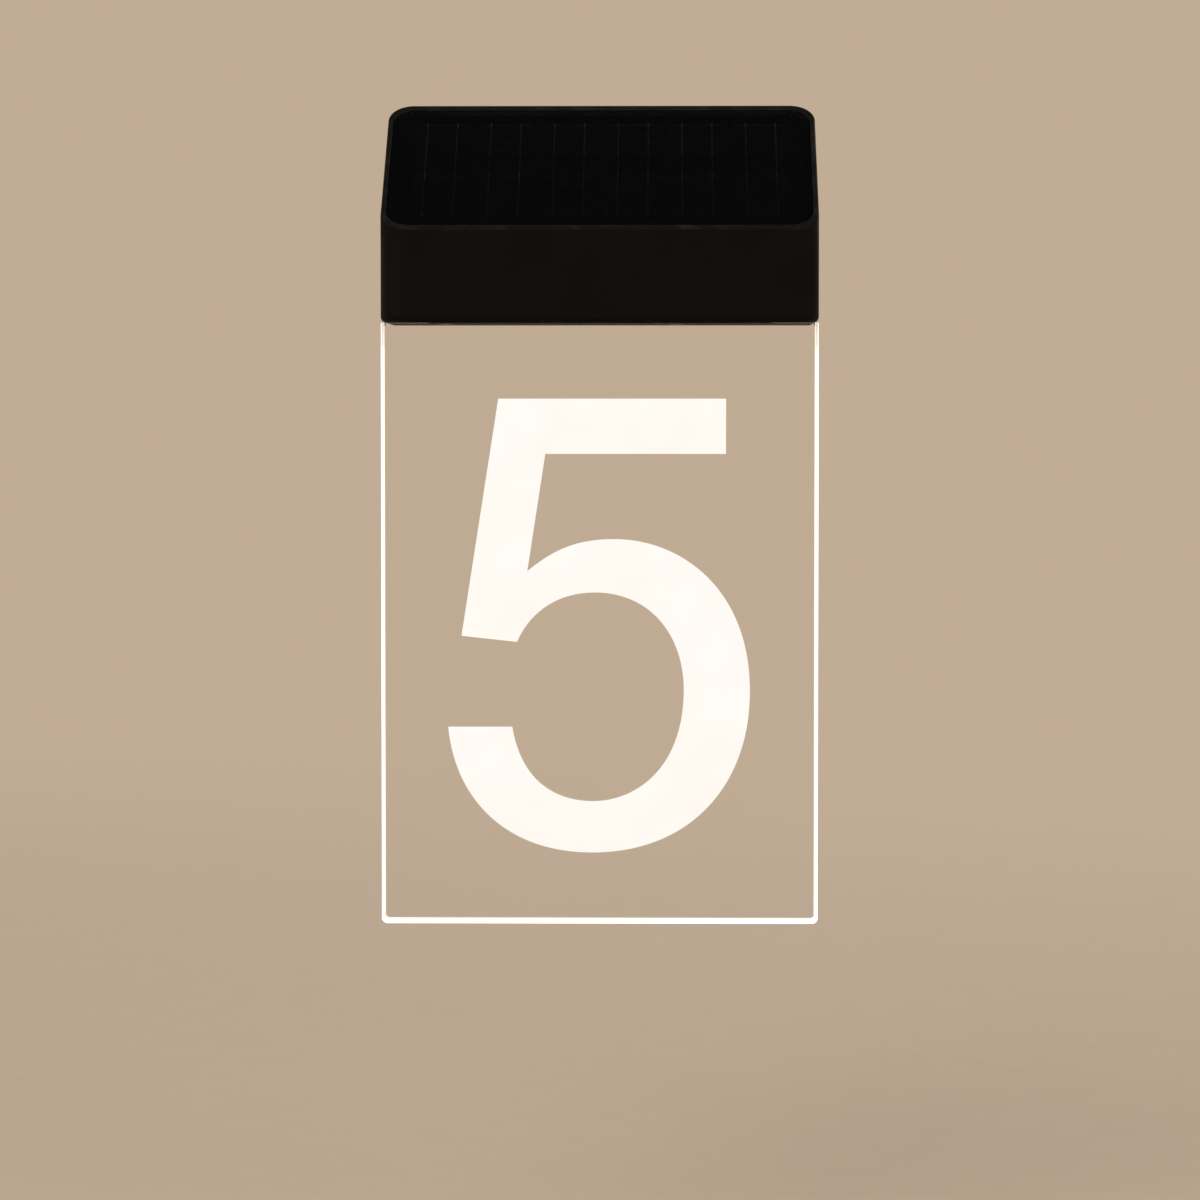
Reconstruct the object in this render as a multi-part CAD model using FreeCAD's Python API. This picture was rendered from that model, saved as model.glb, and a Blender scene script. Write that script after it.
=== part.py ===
import FreeCAD, Part
import math
import os

from FreeCAD import Placement, Rotation, Vector

# Illuminated house number sign: a solar lamp head on the wall with an edge-lit clear plate
# below it. Millimetres. X is to the right, Y points into the wall, Z is up. The wall is the
# plane Y = 0, and the origin is the middle of the bracket's two wall slots.

# Head housing
HEAD_WIDTH = 150.0
HEAD_HEIGHT = 77.7
HEAD_DEPTH = 60.0
FRONT_HEIGHT = 31.6  # upright front face, below the sloped top
TOP_SETBACK = 1.0  # from the wall to the slope's upper end
HEAD_DROP = 38.0  # from the origin down to the head's underside
EDGE_RADIUS = 7.5  # upright front edges
TOP_CORNER_RADIUS = 8.8  # upper corners, in the slope's own plane
BOTTOM_FILLET = 2.1
RIM_FILLET = 0.7
SHELL_WALL = 2.2
FLOOR_THICKNESS = 2.5
POST_RADIUS = 3.4
POST_INSET_X = 9.0
POST_LOW = 6.5  # lower posts, above the underside
POST_HIGH = 55.0  # upper posts, above the underside
POST_WEB = 2.0

# Solar window and panel
RIM_SIDE = 1.8
RIM_FRONT = 2.6
RIM_REAR = 3.2
WINDOW_THICKNESS = 2.0
WINDOW_SET = 0.2  # below the rim
WINDOW_GAP = 0.25
WINDOW_CORNER = 8.0
WINDOW_SEAL = 0.3
LEDGE_WIDTH = 3.0
LEDGE_THICKNESS = 1.6
CELL_THICKNESS = 0.25
CELL_COLUMNS = 6
CELL_ROWS = 2
CELL_GAP = 0.8
CELL_MARGIN = 3.0
CELL_CORNER = 2.4
SOLAR_BOARD_THICKNESS = 1.2
SOLAR_BOARD_GAP = 0.4

# Clear plate and numeral
PLATE_INSET = 0.0  # from the head's side to the plate's
PLATE_HEIGHT = 206.5  # below the head
PLATE_THICKNESS = 5.0
PLATE_SETBACK = 6.5  # from the head's front face
PLATE_BEVEL = 1.5
PLATE_CORNER = 1.5
SHOULDER = 16.0  # from the plate's side to the side of its tongue
TONGUE_HEIGHT = 15.0
NUMERAL_THICKNESS = 0.2

# Numeral outline, from the plate's middle and from its bottom edge. Each bowl curve runs
# between an outermost point and the next, with the lengths of its two handles.
BAR_LEFT, BAR_RIGHT = -34.7, 43.3
BAR_TOP, BAR_UNDERSIDE = 180.6, 161.7
STEM_FOOT = (-47.4, 99.3)
STEM_INNER_TOP = -18.6
NOTCH, NOTCH_ANGLE, NOTCH_HANDLE = (-24.8, 121.5), 39.6, 12.4
OUTER_TOP, OUTER_RIGHT = (5.3, 132.5), (51.6, 80.2)
OUTER_BOTTOM, OUTER_END = (-2.6, 24.7), (-52.0, 68.0)
OUTER_HANDLES = (12.5, 21.5, 36.3, 32.7, 33.3, 30.1, 24.5)
OUTER_END_ANGLE = 5.1
INNER_END, INNER_BOTTOM = (-30.0, 68.0), (-2.3, 42.4)
INNER_RIGHT, INNER_TOP = (28.9, 80.8), (-1.6, 114.2)
INNER_HANDLES = (21.5, 10.1, 14.7, 27.1, 18.6, 19.1, 20.5)
INNER_END_ANGLE = 9.4
STEM_CORNER, STEM_CORNER_ANGLE, STEM_CORNER_HANDLE = (-28.3, 97.2), 70.0, 0.5

# Channel, light strip and clamp
CHANNEL_WALL = 1.8
CHANNEL_PLAY = 0.2
CHANNEL_END_PLAY = 0.5
LED_COUNT = 9
LED_SIZE = 3.0
LED_HEIGHT = 1.0
LED_GAP = 0.8
LED_BOARD_THICKNESS = 1.6
LED_BOARD_OVERHANG = 5.0
LED_BOARD_PLAY = 0.3
CLAMP_THICKNESS = 2.0
CLAMP_HEIGHT = 8.0
CLAMP_RAISE = 4.5  # from the channel's foot to the clamp bar
CLAMP_SCREW_PITCH = 45.0
TONGUE_HOLE_RADIUS = 2.1
SLOT_SEAL_WIDTH = 1.0

# Rear cover, with its pocket for the bracket
COVER_THICKNESS = 2.5
COVER_SET = 0.5
COVER_GAP = 0.3
COVER_SEAL = 1.5
SEAL_SHELF_THICKNESS = 1.5
SEAL_SHELF_WIDTH = 2.0
POCKET_DEPTH = 6.0
POCKET_FLOOR = 2.0
POCKET_WALL = 1.6
POCKET_PLAY = 1.5
LIP_THICKNESS = 1.6
LIP_PLAY = 0.2
LIP_ROOF = 1.6
HOOK_TOP_PLAY = 1.0

# Wall bracket
BRACKET_WIDTH = 86.0
BRACKET_LOWER = 13.0  # below the origin
BRACKET_UPPER = 10.0  # above the origin
BRACKET_THICKNESS = 1.5
BRACKET_CORNER = 3.0
SLOT_SPACING = 60.0
SLOT_LENGTH = 9.0
SLOT_RADIUS = 2.25
HOOK_WIDTH = 14.0
HOOK_INSET = 15.0  # from the bracket's end to the middle of a hook
HOOK_HEIGHT = 8.0
LIFT_TRAVEL = 10.0

# Battery, its holder and its door
CELL_RADIUS = 9.2
CELL_LENGTH = 65.0
NOSE_RADIUS = 3.0
NOSE_HEIGHT = 1.0
SPRING_LENGTH = 5.2
SPRING_RADIUS = 4.0
SPRING_WIRE = 0.4
SPRING_TURNS = 4
CONTACT_THICKNESS = 0.5
CONTACT_SIZE = 11.0
BAY_PLAY = 0.4
HOLDER_WALL = 1.5
BATTERY_OFFSET = -14.0
BATTERY_RAISE = 3.3  # from the floor to the cell
EAR_RADIUS = 3.0
EAR_REACH = 3.2
EAR_HEIGHT = 2.0
EAR_SPACING = 50.0
EAR_POST = 4.0
DOOR_THICKNESS = 1.5
DOOR_SIDE = 3.0
DOOR_END = 4.5  # from a door screw to the door's end
DOOR_GAP = 0.2
DOOR_CORNER = 2.0
DOOR_RIM_WALL = 1.2
DOOR_RIM_HEIGHT = 2.0
DOOR_SEAL = 1.0
DOOR_SEAL_HEIGHT = 1.0
DOOR_SEAL_GAP = 0.2
DOOR_POST_RADIUS = 3.2
DOOR_POST_HEIGHT = 7.0
GRIP_RIBS = 5
GRIP_PITCH = 3.0
GRIP_WIDTH = 1.2
GRIP_DEPTH = 0.5
GRIP_LENGTH = 12.0

# Control board
BOARD_THICKNESS = 1.6
BOARD_WIDTH = 26.0
BOARD_OVERHANG = 12.0  # past the holder's right end
BOARD_STANDOFF = 4.3
STANDOFF_RADIUS = 2.5
STANDOFF_INSET = 5.0
# On the board: place across it from the battery's middle, then length, width and height
BOARD_BLOCKS = (
    (0.0, 8.0, 8.0, 1.2),
    (18.0, 8.0, 8.0, 3.2),
    (-20.0, 4.0, 6.0, 1.0),
    (9.0, 2.0, 4.0, 0.8),
)
BOARD_CANS = ((-12.0, 2.5, 5.0), (-27.0, 3.2, 5.5))

# Power button and its switch
BUTTON_RADIUS = 4.8
BUTTON_GAP = 0.3
BUTTON_PROUD = 0.3
BUTTON_EDGE = 0.4  # rounding of its lower edge
BUTTON_FLANGE = 1.4
BUTTON_FLANGE_THICKNESS = 0.8
BUTTON_SEAL = 0.5
BUTTON_SEAL_GAP = 0.2
BUTTON_TRAVEL = 1.2
BUTTON_FROM_DOOR = 15.0
BUTTON_POST_RADIUS = 1.5
BUTTON_POST_LENGTH = 1.6
PLUNGER_RADIUS = 1.6
PLUNGER_LENGTH = 3.8
PLUNGER_GAP = 0.15
SWITCH_SIZE = 6.5
SWITCH_HEIGHT = 4.2
SWITCH_ABOVE_FLANGE = 2.8
SWITCH_BOARD_WIDTH = 14.0
SWITCH_BOARD_THICKNESS = 1.2
SWITCH_POST_RADIUS = 2.0
SWITCH_POST_GAP = 0.5

# Screws: radius of the thread, of the head, and the head's height
COVER_SCREW = (1.45, 2.9, 1.5)
CLAMP_SCREW = (1.45, 2.75, 2.0)
SMALL_SCREW = (1.1, 2.0, 1.3)
TINY_SCREW = (0.9, 1.6, 1.0)
DOOR_SCREW = (1.3, 2.4, 1.0)
SCREW_PLAY = 0.05
CLEARANCE_PLAY = 0.25
SCREW_LENGTH = 8.0
SMALL_SCREW_LENGTH = 4.0
CLAMP_SCREW_TIP = 0.5  # from the tip to the front wall
RECESS_DEPTH = 0.35
RECESS_WIDTH = 0.5
RECESS_REACH = 0.55  # of the head's radius

LEAD_DIAMETER = 1.6
LEAD_CLIMB = 3.0
BEND_REACH = 0.45  # of the shorter run beside a bend

# Levels and planes that follow from the sizes above
HEAD_BOTTOM = -HEAD_DROP
FLOOR_TOP = HEAD_BOTTOM + FLOOR_THICKNESS
FRONT_TOP = HEAD_BOTTOM + FRONT_HEIGHT
SLOPE_RISE = HEAD_HEIGHT - FRONT_HEIGHT
SLOPE = math.atan2(SLOPE_RISE, HEAD_DEPTH - TOP_SETBACK)
SLOPE_LENGTH = SLOPE_RISE / math.sin(SLOPE)
LEDGE_TOP = WINDOW_SET + WINDOW_THICKNESS + WINDOW_SEAL
ROOF = LEDGE_TOP + LEDGE_THICKNESS
PLATE_WIDTH = HEAD_WIDTH - 2 * PLATE_INSET
PLATE_FRONT = -HEAD_DEPTH + PLATE_SETBACK
PLATE_REAR = PLATE_FRONT + PLATE_THICKNESS
PLATE_BOTTOM = HEAD_BOTTOM - PLATE_HEIGHT
TONGUE_HALF = PLATE_WIDTH / 2 - SHOULDER
TONGUE_TOP = HEAD_BOTTOM + TONGUE_HEIGHT
CHANNEL_FRONT = PLATE_FRONT - CHANNEL_PLAY - CHANNEL_WALL
CHANNEL_BACK = PLATE_REAR + CLAMP_THICKNESS + CHANNEL_PLAY + CHANNEL_WALL
CHANNEL_HALF = TONGUE_HALF + CHANNEL_END_PLAY
LED_BOTTOM = TONGUE_TOP + LED_GAP
LED_BOARD_BOTTOM = LED_BOTTOM + LED_HEIGHT
LED_BOARD_TOP = LED_BOARD_BOTTOM + LED_BOARD_THICKNESS
CHANNEL_TOP = LED_BOARD_TOP + CHANNEL_WALL
CLAMP_LOW = FLOOR_TOP + CLAMP_RAISE
CLAMP_AXIS = CLAMP_LOW + CLAMP_HEIGHT / 2
COVER_FRONT = -COVER_SET - COVER_THICKNESS
SHELF_REAR = COVER_FRONT - COVER_SEAL
BAY_LENGTH = CELL_LENGTH + SPRING_LENGTH + CONTACT_THICKNESS
BAY_HALF_X = BAY_LENGTH / 2
BAY_HALF_Y = CELL_RADIUS + BAY_PLAY
POCKET_FRONT = -POCKET_DEPTH - POCKET_FLOOR
BATTERY_Y = (POCKET_FRONT + CHANNEL_BACK + CLAMP_SCREW[2]) / 2
BATTERY_Z = FLOOR_TOP + BATTERY_RAISE + CELL_RADIUS
HOLDER_TOP = BATTERY_Z + BAY_HALF_Y + HOLDER_WALL
BOARD_BOTTOM = HOLDER_TOP + BOARD_STANDOFF
BOARD_TOP = BOARD_BOTTOM + BOARD_THICKNESS
BOARD_LEFT = BATTERY_OFFSET - BAY_HALF_X - HOLDER_WALL
BOARD_RIGHT = BATTERY_OFFSET + BAY_HALF_X + HOLDER_WALL + BOARD_OVERHANG
DOOR_SCREW_X = BAY_HALF_X + HOLDER_WALL + BAY_PLAY + DOOR_POST_RADIUS
DOOR_HALF_X = DOOR_SCREW_X + DOOR_END
DOOR_HALF_Y = BAY_HALF_Y + DOOR_SIDE
DOOR_TOP = HEAD_BOTTOM + DOOR_THICKNESS
BUTTON_X = BATTERY_OFFSET + DOOR_HALF_X + BUTTON_FROM_DOOR
FLANGE_BOTTOM = FLOOR_TOP + BUTTON_SEAL_GAP + BUTTON_SEAL
FLANGE_TOP = FLANGE_BOTTOM + BUTTON_FLANGE_THICKNESS
SWITCH_BOTTOM = FLANGE_TOP + SWITCH_ABOVE_FLANGE
SWITCH_TOP = SWITCH_BOTTOM + SWITCH_HEIGHT
SWITCH_POST_OUT = BUTTON_RADIUS + BUTTON_FLANGE + SWITCH_POST_GAP + SWITCH_POST_RADIUS
SWITCH_BOARD_LENGTH = 2 * (SWITCH_POST_OUT + SWITCH_POST_RADIUS)
HOOK_X = BRACKET_WIDTH / 2 - HOOK_INSET
LIP_BACK = -BRACKET_THICKNESS - LIP_PLAY
LIP_FRONT = LIP_BACK - LIP_THICKNESS
HOOK_BACK = LIP_FRONT - LIP_PLAY
LIP_TOP = BRACKET_UPPER + HOOK_HEIGHT + HOOK_TOP_PLAY
CUT_PAST = 5.0  # past the wall plane or the slope, for what opens there
FAR = 400.0


def box(x0, x1, y0, y1, z0, z1):
    return Part.makeBox(x1 - x0, y1 - y0, z1 - z0, Vector(x0, y0, z0))


def cylinder_y(x, z, radius, y0, y1):
    return Part.makeCylinder(radius, y1 - y0, Vector(x, y0, z), Vector(0, 1, 0))


def cylinder_z(x, y, radius, z0, z1):
    return Part.makeCylinder(radius, z1 - z0, Vector(x, y, z0), Vector(0, 0, 1))


def edges_where(shape, test):
    return [edge for edge in shape.Edges if test(edge)]


def runs_along(edge, axis):
    """True if the edge is straight and parallel to the axis."""
    if not isinstance(edge.Curve, Part.Line):
        return False
    return abs(abs(edge.Curve.Direction.dot(axis)) - 1) < 1e-6


def rounded_box(x0, x1, y0, y1, z0, z1, radius, keep=lambda edge: True):
    """A box with its Z edges rounded, all of them or those that keep allows."""
    solid = box(x0, x1, y0, y1, z0, z1)
    edges = edges_where(solid, lambda e: runs_along(e, Vector(0, 0, 1)) and keep(e))
    return solid.makeFillet(radius, edges)


def laid_on_slope(solid):
    """Moves a solid from slope coordinates, with X across, Y up the slope and Z out of it."""
    place = Placement(Vector(0, -HEAD_DEPTH, FRONT_TOP), Rotation(Vector(1, 0, 0), math.degrees(SLOPE)))
    return solid.transformed(place.toMatrix())


def slope_height(y, inset):
    """Height of the slope's plane at y, or of a plane that lies that far inside it."""
    return FRONT_TOP + (y + HEAD_DEPTH) * math.tan(SLOPE) - inset / math.cos(SLOPE)


def head_form(side, floor, roof, rear):
    """The head's wedge, drawn in by a side wall, a floor and a roof, and running back to rear."""
    half, front, low = HEAD_WIDTH / 2 - side, -HEAD_DEPTH + side, HEAD_BOTTOM + floor
    outline = [(y, low) for y in (rear, front)] + [(y, slope_height(y, roof)) for y in (front, rear)]
    points = [Vector(-half, y, z) for y, z in outline]
    face = Part.Face(Part.makePolygon(points + points[:1]))
    solid = face.extrude(Vector(2 * half, 0, 0))
    upright = edges_where(
        solid, lambda e: runs_along(e, Vector(0, 0, 1)) and abs(e.CenterOfMass.y - front) < 1e-6
    )
    solid = solid.makeFillet(EDGE_RADIUS - side, upright)
    end = SLOPE_LENGTH - side
    limit = rounded_box(
        -half, half, -FAR, end, -FAR, FAR, TOP_CORNER_RADIUS - side, lambda e: e.CenterOfMass.y > 0
    )
    return solid.common(laid_on_slope(limit))


def slab(solid, front, rear):
    """The part of a solid between two planes of constant Y."""
    return solid.common(box(-FAR, FAR, front, rear, -FAR, FAR))


def slope_pad(x_margin, front_margin, rear_margin, low, high, radius):
    """A rounded rectangle on the slope, set in from the head's sides and the slope's ends."""
    half = HEAD_WIDTH / 2 - x_margin
    pad = rounded_box(-half, half, front_margin, SLOPE_LENGTH - rear_margin, low, high, radius)
    return laid_on_slope(pad)


def joined(solids):
    result = solids[0].multiFuse(solids[1:]).removeSplitter()
    return result.Solids[0] if len(result.Solids) == 1 else result


def recess(x, y, top, reach):
    """A cross-shaped driver recess, cut down from the top of a screw that stands on Z."""
    arms = [
        box(x - reach, x + reach, y - RECESS_WIDTH / 2, y + RECESS_WIDTH / 2, top - RECESS_DEPTH, top),
        box(x - RECESS_WIDTH / 2, x + RECESS_WIDTH / 2, y - reach, y + reach, top - RECESS_DEPTH, top),
    ]
    return joined(arms)


def screw_z(x, y, seat, length, size, up):
    """A pan-head screw on a Z axis, whose head stands on the seat, above it or below it."""
    shank, head, height = size
    solid = joined([cylinder_z(x, y, shank, -length, 0), cylinder_z(x, y, head, 0, height)])
    solid = solid.cut(recess(x, y, height, head * RECESS_REACH))
    if not up:
        solid = solid.mirror(Vector(0, 0, 0), Vector(0, 0, 1))
    return solid.translated(Vector(0, 0, seat))


def screw_y(x, z, seat, length, size):
    """A pan-head screw whose head stands behind the seat and whose shank runs forward."""
    solid = screw_z(0, 0, 0, length, size, True)
    solid.rotate(Vector(0, 0, 0), Vector(1, 0, 0), -90)
    return solid.translated(Vector(x, seat, z))


def post_places():
    """The four corner posts, as x and z."""
    x = HEAD_WIDTH / 2 - POST_INSET_X
    return [(side * x, HEAD_BOTTOM + up) for side in (-1, 1) for up in (POST_LOW, POST_HIGH)]


def clamp_places():
    return [-CLAMP_SCREW_PITCH, 0.0, CLAMP_SCREW_PITCH]


def ear_places():
    """The holder's two ears, on its wall side."""
    y = BATTERY_Y + BAY_HALF_Y + HOLDER_WALL + EAR_REACH
    return [(BATTERY_OFFSET + side * EAR_SPACING / 2, y) for side in (-1, 1)]


def standoff_places():
    x = BAY_HALF_X - STANDOFF_INSET
    y = BOARD_WIDTH / 2 - STANDOFF_INSET
    return [(BATTERY_OFFSET + side * x, BATTERY_Y + way * y) for side in (-1, 1) for way in (-1, 1)]


def switch_places():
    return [BUTTON_X - SWITCH_POST_OUT, BUTTON_X + SWITCH_POST_OUT]


def door_screw_places():
    return [BATTERY_OFFSET - DOOR_SCREW_X, BATTERY_OFFSET + DOOR_SCREW_X]


def on_outer_rim(edge):
    """True for an edge of the housing that lies in the slope's plane."""
    return all(abs(slope_height(v.Y, 0) - v.Z) < 1e-4 for v in edge.Vertexes)


def front_shell():
    outer = head_form(0, 0, 0, 0)
    lower = edges_where(
        outer, lambda e: abs(e.BoundBox.ZMax - HEAD_BOTTOM) < 1e-6 and e.CenterOfMass.y < -1e-3
    )
    outer = outer.makeFillet(BOTTOM_FILLET, lower)
    outer = outer.makeFillet(RIM_FILLET, edges_where(outer, on_outer_rim))
    space = head_form(SHELL_WALL, FLOOR_THICKNESS, ROOF, CUT_PAST)
    shelf_outer = slab(space, SHELF_REAR - SEAL_SHELF_THICKNESS, SHELF_REAR)
    inner = head_form(
        SHELL_WALL + SEAL_SHELF_WIDTH,
        FLOOR_THICKNESS + SEAL_SHELF_WIDTH,
        ROOF + SEAL_SHELF_WIDTH,
        CUT_PAST,
    )
    shell = outer.cut(space).fuse(shelf_outer.cut(inner))
    shell = shell.fuse(shell_posts(space))
    window = slope_pad(RIM_SIDE, RIM_FRONT, RIM_REAR, -LEDGE_TOP, CUT_PAST, WINDOW_CORNER + WINDOW_GAP)
    margin = RIM_SIDE + WINDOW_GAP + LEDGE_WIDTH
    light_way = slope_pad(
        margin,
        RIM_FRONT + WINDOW_GAP + LEDGE_WIDTH,
        RIM_REAR + WINDOW_GAP + LEDGE_WIDTH,
        -ROOF - SOLAR_BOARD_THICKNESS,
        0,
        WINDOW_CORNER - LEDGE_WIDTH,
    )
    shell = shell.cut(window).cut(light_way)
    for cutter in shell_openings():
        shell = shell.cut(cutter)
    return shell.removeSplitter().Solids[0]


def shell_posts(space):
    """Posts for the rear cover, the channel, the holder, the switch board and the door."""
    posts = []
    for x, z in post_places():
        posts.append(cylinder_y(x, z, POST_RADIUS, -HEAD_DEPTH, SHELF_REAR))
        if z > FRONT_TOP:
            side = math.copysign(HEAD_WIDTH / 2, x)
            web = sorted((x, side))
            posts.append(box(*web, -HEAD_DEPTH, SHELF_REAR, z - POST_WEB / 2, z + POST_WEB / 2))
        else:
            posts.append(box(x - POST_WEB / 2, x + POST_WEB / 2, -HEAD_DEPTH, SHELF_REAR, HEAD_BOTTOM, z))
    for x in clamp_places():
        posts.append(cylinder_y(x, CLAMP_AXIS, POST_RADIUS, -HEAD_DEPTH, CHANNEL_FRONT))
    for x, y in ear_places():
        posts.append(cylinder_z(x, y, EAR_RADIUS, HEAD_BOTTOM, FLOOR_TOP + EAR_POST))
    for x in switch_places():
        posts.append(cylinder_z(x, BATTERY_Y, SWITCH_POST_RADIUS, HEAD_BOTTOM, SWITCH_TOP))
    for x in door_screw_places():
        top = FLOOR_TOP + DOOR_POST_HEIGHT
        posts.append(cylinder_z(x, BATTERY_Y, DOOR_POST_RADIUS, HEAD_BOTTOM, top))
    return joined(posts).common(space)


def shell_openings():
    """Holes and slots that are cut into the housing, one cutter each."""
    cutters = []
    for x, z in post_places():
        radius = COVER_SCREW[0] + SCREW_PLAY
        cutters.append(cylinder_y(x, z, radius, COVER_FRONT - SCREW_LENGTH, 0))
    for x in clamp_places():
        tip = -HEAD_DEPTH + SHELL_WALL + CLAMP_SCREW_TIP - SCREW_PLAY
        cutters.append(cylinder_y(x, CLAMP_AXIS, CLAMP_SCREW[0] + SCREW_PLAY, tip, CHANNEL_FRONT))
    for x, y in ear_places():
        top = FLOOR_TOP + EAR_POST
        radius = SMALL_SCREW[0] + SCREW_PLAY
        cutters.append(cylinder_z(x, y, radius, top - SMALL_SCREW_LENGTH, top))
    for x in switch_places():
        radius = TINY_SCREW[0] + SCREW_PLAY
        cutters.append(cylinder_z(x, BATTERY_Y, radius, SWITCH_TOP - SMALL_SCREW_LENGTH, SWITCH_TOP))
    for x in door_screw_places():
        radius = DOOR_SCREW[0] + CLEARANCE_PLAY
        top = DOOR_TOP + SMALL_SCREW_LENGTH + CLEARANCE_PLAY
        cutters.append(cylinder_z(x, BATTERY_Y, radius, HEAD_BOTTOM, top))
    reach = SLOT_SEAL_WIDTH
    cutters.append(
        box(
            -TONGUE_HALF - reach,
            TONGUE_HALF + reach,
            PLATE_FRONT - reach,
            PLATE_REAR + reach,
            HEAD_BOTTOM,
            FLOOR_TOP,
        )
    )
    cutters.append(battery_box(0, HEAD_BOTTOM, FLOOR_TOP))
    cutters.append(
        rounded_box(
            BATTERY_OFFSET - DOOR_HALF_X - DOOR_GAP,
            BATTERY_OFFSET + DOOR_HALF_X + DOOR_GAP,
            BATTERY_Y - DOOR_HALF_Y - DOOR_GAP,
            BATTERY_Y + DOOR_HALF_Y + DOOR_GAP,
            HEAD_BOTTOM,
            DOOR_TOP + DOOR_GAP / 2,
            DOOR_CORNER + DOOR_GAP,
        )
    )
    cutters.append(cylinder_z(BUTTON_X, BATTERY_Y, BUTTON_RADIUS + BUTTON_GAP, HEAD_BOTTOM, FLOOR_TOP))
    return cutters


def battery_box(inset, low, high):
    """The battery bay's outline, drawn in by the inset, between two levels."""
    half_x, half_y = BAY_HALF_X - inset, BAY_HALF_Y - inset
    return box(
        BATTERY_OFFSET - half_x,
        BATTERY_OFFSET + half_x,
        BATTERY_Y - half_y,
        BATTERY_Y + half_y,
        low,
        high,
    )


def cover_form(gap):
    """The rear opening's outline as a solid, for what fits into it."""
    return head_form(SHELL_WALL + gap, FLOOR_THICKNESS + gap, ROOF + gap, 0)


def rear_cover():
    cover = slab(cover_form(COVER_GAP), COVER_FRONT, -COVER_SET)
    half = BRACKET_WIDTH / 2 + POCKET_PLAY
    low = -BRACKET_LOWER - LIFT_TRAVEL - POCKET_PLAY
    high = LIP_TOP + LIP_ROOF
    front = -POCKET_DEPTH
    tub = box(
        -half - POCKET_WALL,
        half + POCKET_WALL,
        front - POCKET_FLOOR,
        -COVER_SET,
        low - POCKET_WALL,
        high + POCKET_WALL,
    )
    cover = joined([cover, tub]).cut(box(-half, half, front, 0, low, high))
    for side in (-1, 1):
        x0, x1 = side * HOOK_X - HOOK_WIDTH / 2 - POCKET_PLAY, side * HOOK_X + HOOK_WIDTH / 2 + POCKET_PLAY
        lip = box(x0, x1, LIP_FRONT, LIP_BACK, BRACKET_UPPER, high)
        roof = box(x0, x1, front, LIP_BACK, LIP_TOP, high)
        cover = joined([cover, lip, roof])
    for x, z in post_places():
        shank, head, height = COVER_SCREW
        seat = Part.makeCone(shank, head, height, Vector(x, -COVER_SET - height, z), Vector(0, 1, 0))
        hole = cylinder_y(x, z, shank + CLEARANCE_PLAY, -COVER_SET - COVER_THICKNESS, -COVER_SET)
        cover = cover.cut(seat).cut(hole)
    return cover.removeSplitter().Solids[0]


def cover_screws():
    """Countersunk screws that stand in the cover's four corners."""
    shank, head, height = COVER_SCREW
    screws = []
    for x, z in post_places():
        cone = Part.makeCone(shank, head, height, Vector(x, -COVER_SET - height, z), Vector(0, 1, 0))
        length = SCREW_LENGTH - CLEARANCE_PLAY
        body = cylinder_y(x, z, shank, COVER_FRONT - length, -COVER_SET - height)
        cross = recess(0, 0, 0, head * RECESS_REACH)
        cross.rotate(Vector(0, 0, 0), Vector(1, 0, 0), -90)
        screws.append(joined([cone, body]).cut(cross.translated(Vector(x, -COVER_SET, z))))
    return Part.makeCompound(screws)


def cover_seal():
    ring = slab(cover_form(COVER_GAP), SHELF_REAR, COVER_FRONT)
    inner = cover_form(SEAL_SHELF_WIDTH)
    return ring.cut(inner)


def solar_window():
    side, gap = RIM_SIDE, WINDOW_GAP
    return slope_pad(
        side + gap,
        RIM_FRONT + gap,
        RIM_REAR + gap,
        -WINDOW_SET - WINDOW_THICKNESS,
        -WINDOW_SET,
        WINDOW_CORNER,
    )


def window_seal():
    gap = WINDOW_GAP
    ring = slope_pad(
        RIM_SIDE + gap, RIM_FRONT + gap, RIM_REAR + gap, -LEDGE_TOP, -LEDGE_TOP + WINDOW_SEAL, WINDOW_CORNER
    )
    reach = gap + LEDGE_WIDTH
    hole = slope_pad(
        RIM_SIDE + reach,
        RIM_FRONT + reach,
        RIM_REAR + reach,
        -LEDGE_TOP,
        -LEDGE_TOP + WINDOW_SEAL,
        WINDOW_CORNER - LEDGE_WIDTH,
    )
    return ring.cut(hole)


def board_reach():
    return WINDOW_GAP + LEDGE_WIDTH + SOLAR_BOARD_GAP


def solar_cells():
    """Cell strips in rows and columns, glued under the window, each with cropped corners."""
    reach = board_reach() + CELL_MARGIN
    half = HEAD_WIDTH / 2 - RIM_SIDE - reach
    first, last = RIM_FRONT + reach, SLOPE_LENGTH - RIM_REAR - reach
    width = (2 * half - (CELL_COLUMNS - 1) * CELL_GAP) / CELL_COLUMNS
    length = (last - first - (CELL_ROWS - 1) * CELL_GAP) / CELL_ROWS
    top = -WINDOW_SET - WINDOW_THICKNESS
    cells = []
    for column in range(CELL_COLUMNS):
        for row in range(CELL_ROWS):
            x, y = -half + column * (width + CELL_GAP), first + row * (length + CELL_GAP)
            cell = box(x, x + width, y, y + length, top - CELL_THICKNESS, top)
            corners = edges_where(cell, lambda e: runs_along(e, Vector(0, 0, 1)))
            cells.append(laid_on_slope(cell.makeChamfer(CELL_CORNER, corners)))
    return Part.makeCompound(cells)


def solar_board():
    reach, radius = board_reach(), WINDOW_CORNER - LEDGE_WIDTH - SOLAR_BOARD_GAP
    top = -WINDOW_SET - WINDOW_THICKNESS - CELL_THICKNESS
    return slope_pad(
        RIM_SIDE + reach, RIM_FRONT + reach, RIM_REAR + reach, top - SOLAR_BOARD_THICKNESS, top, radius
    )


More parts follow.
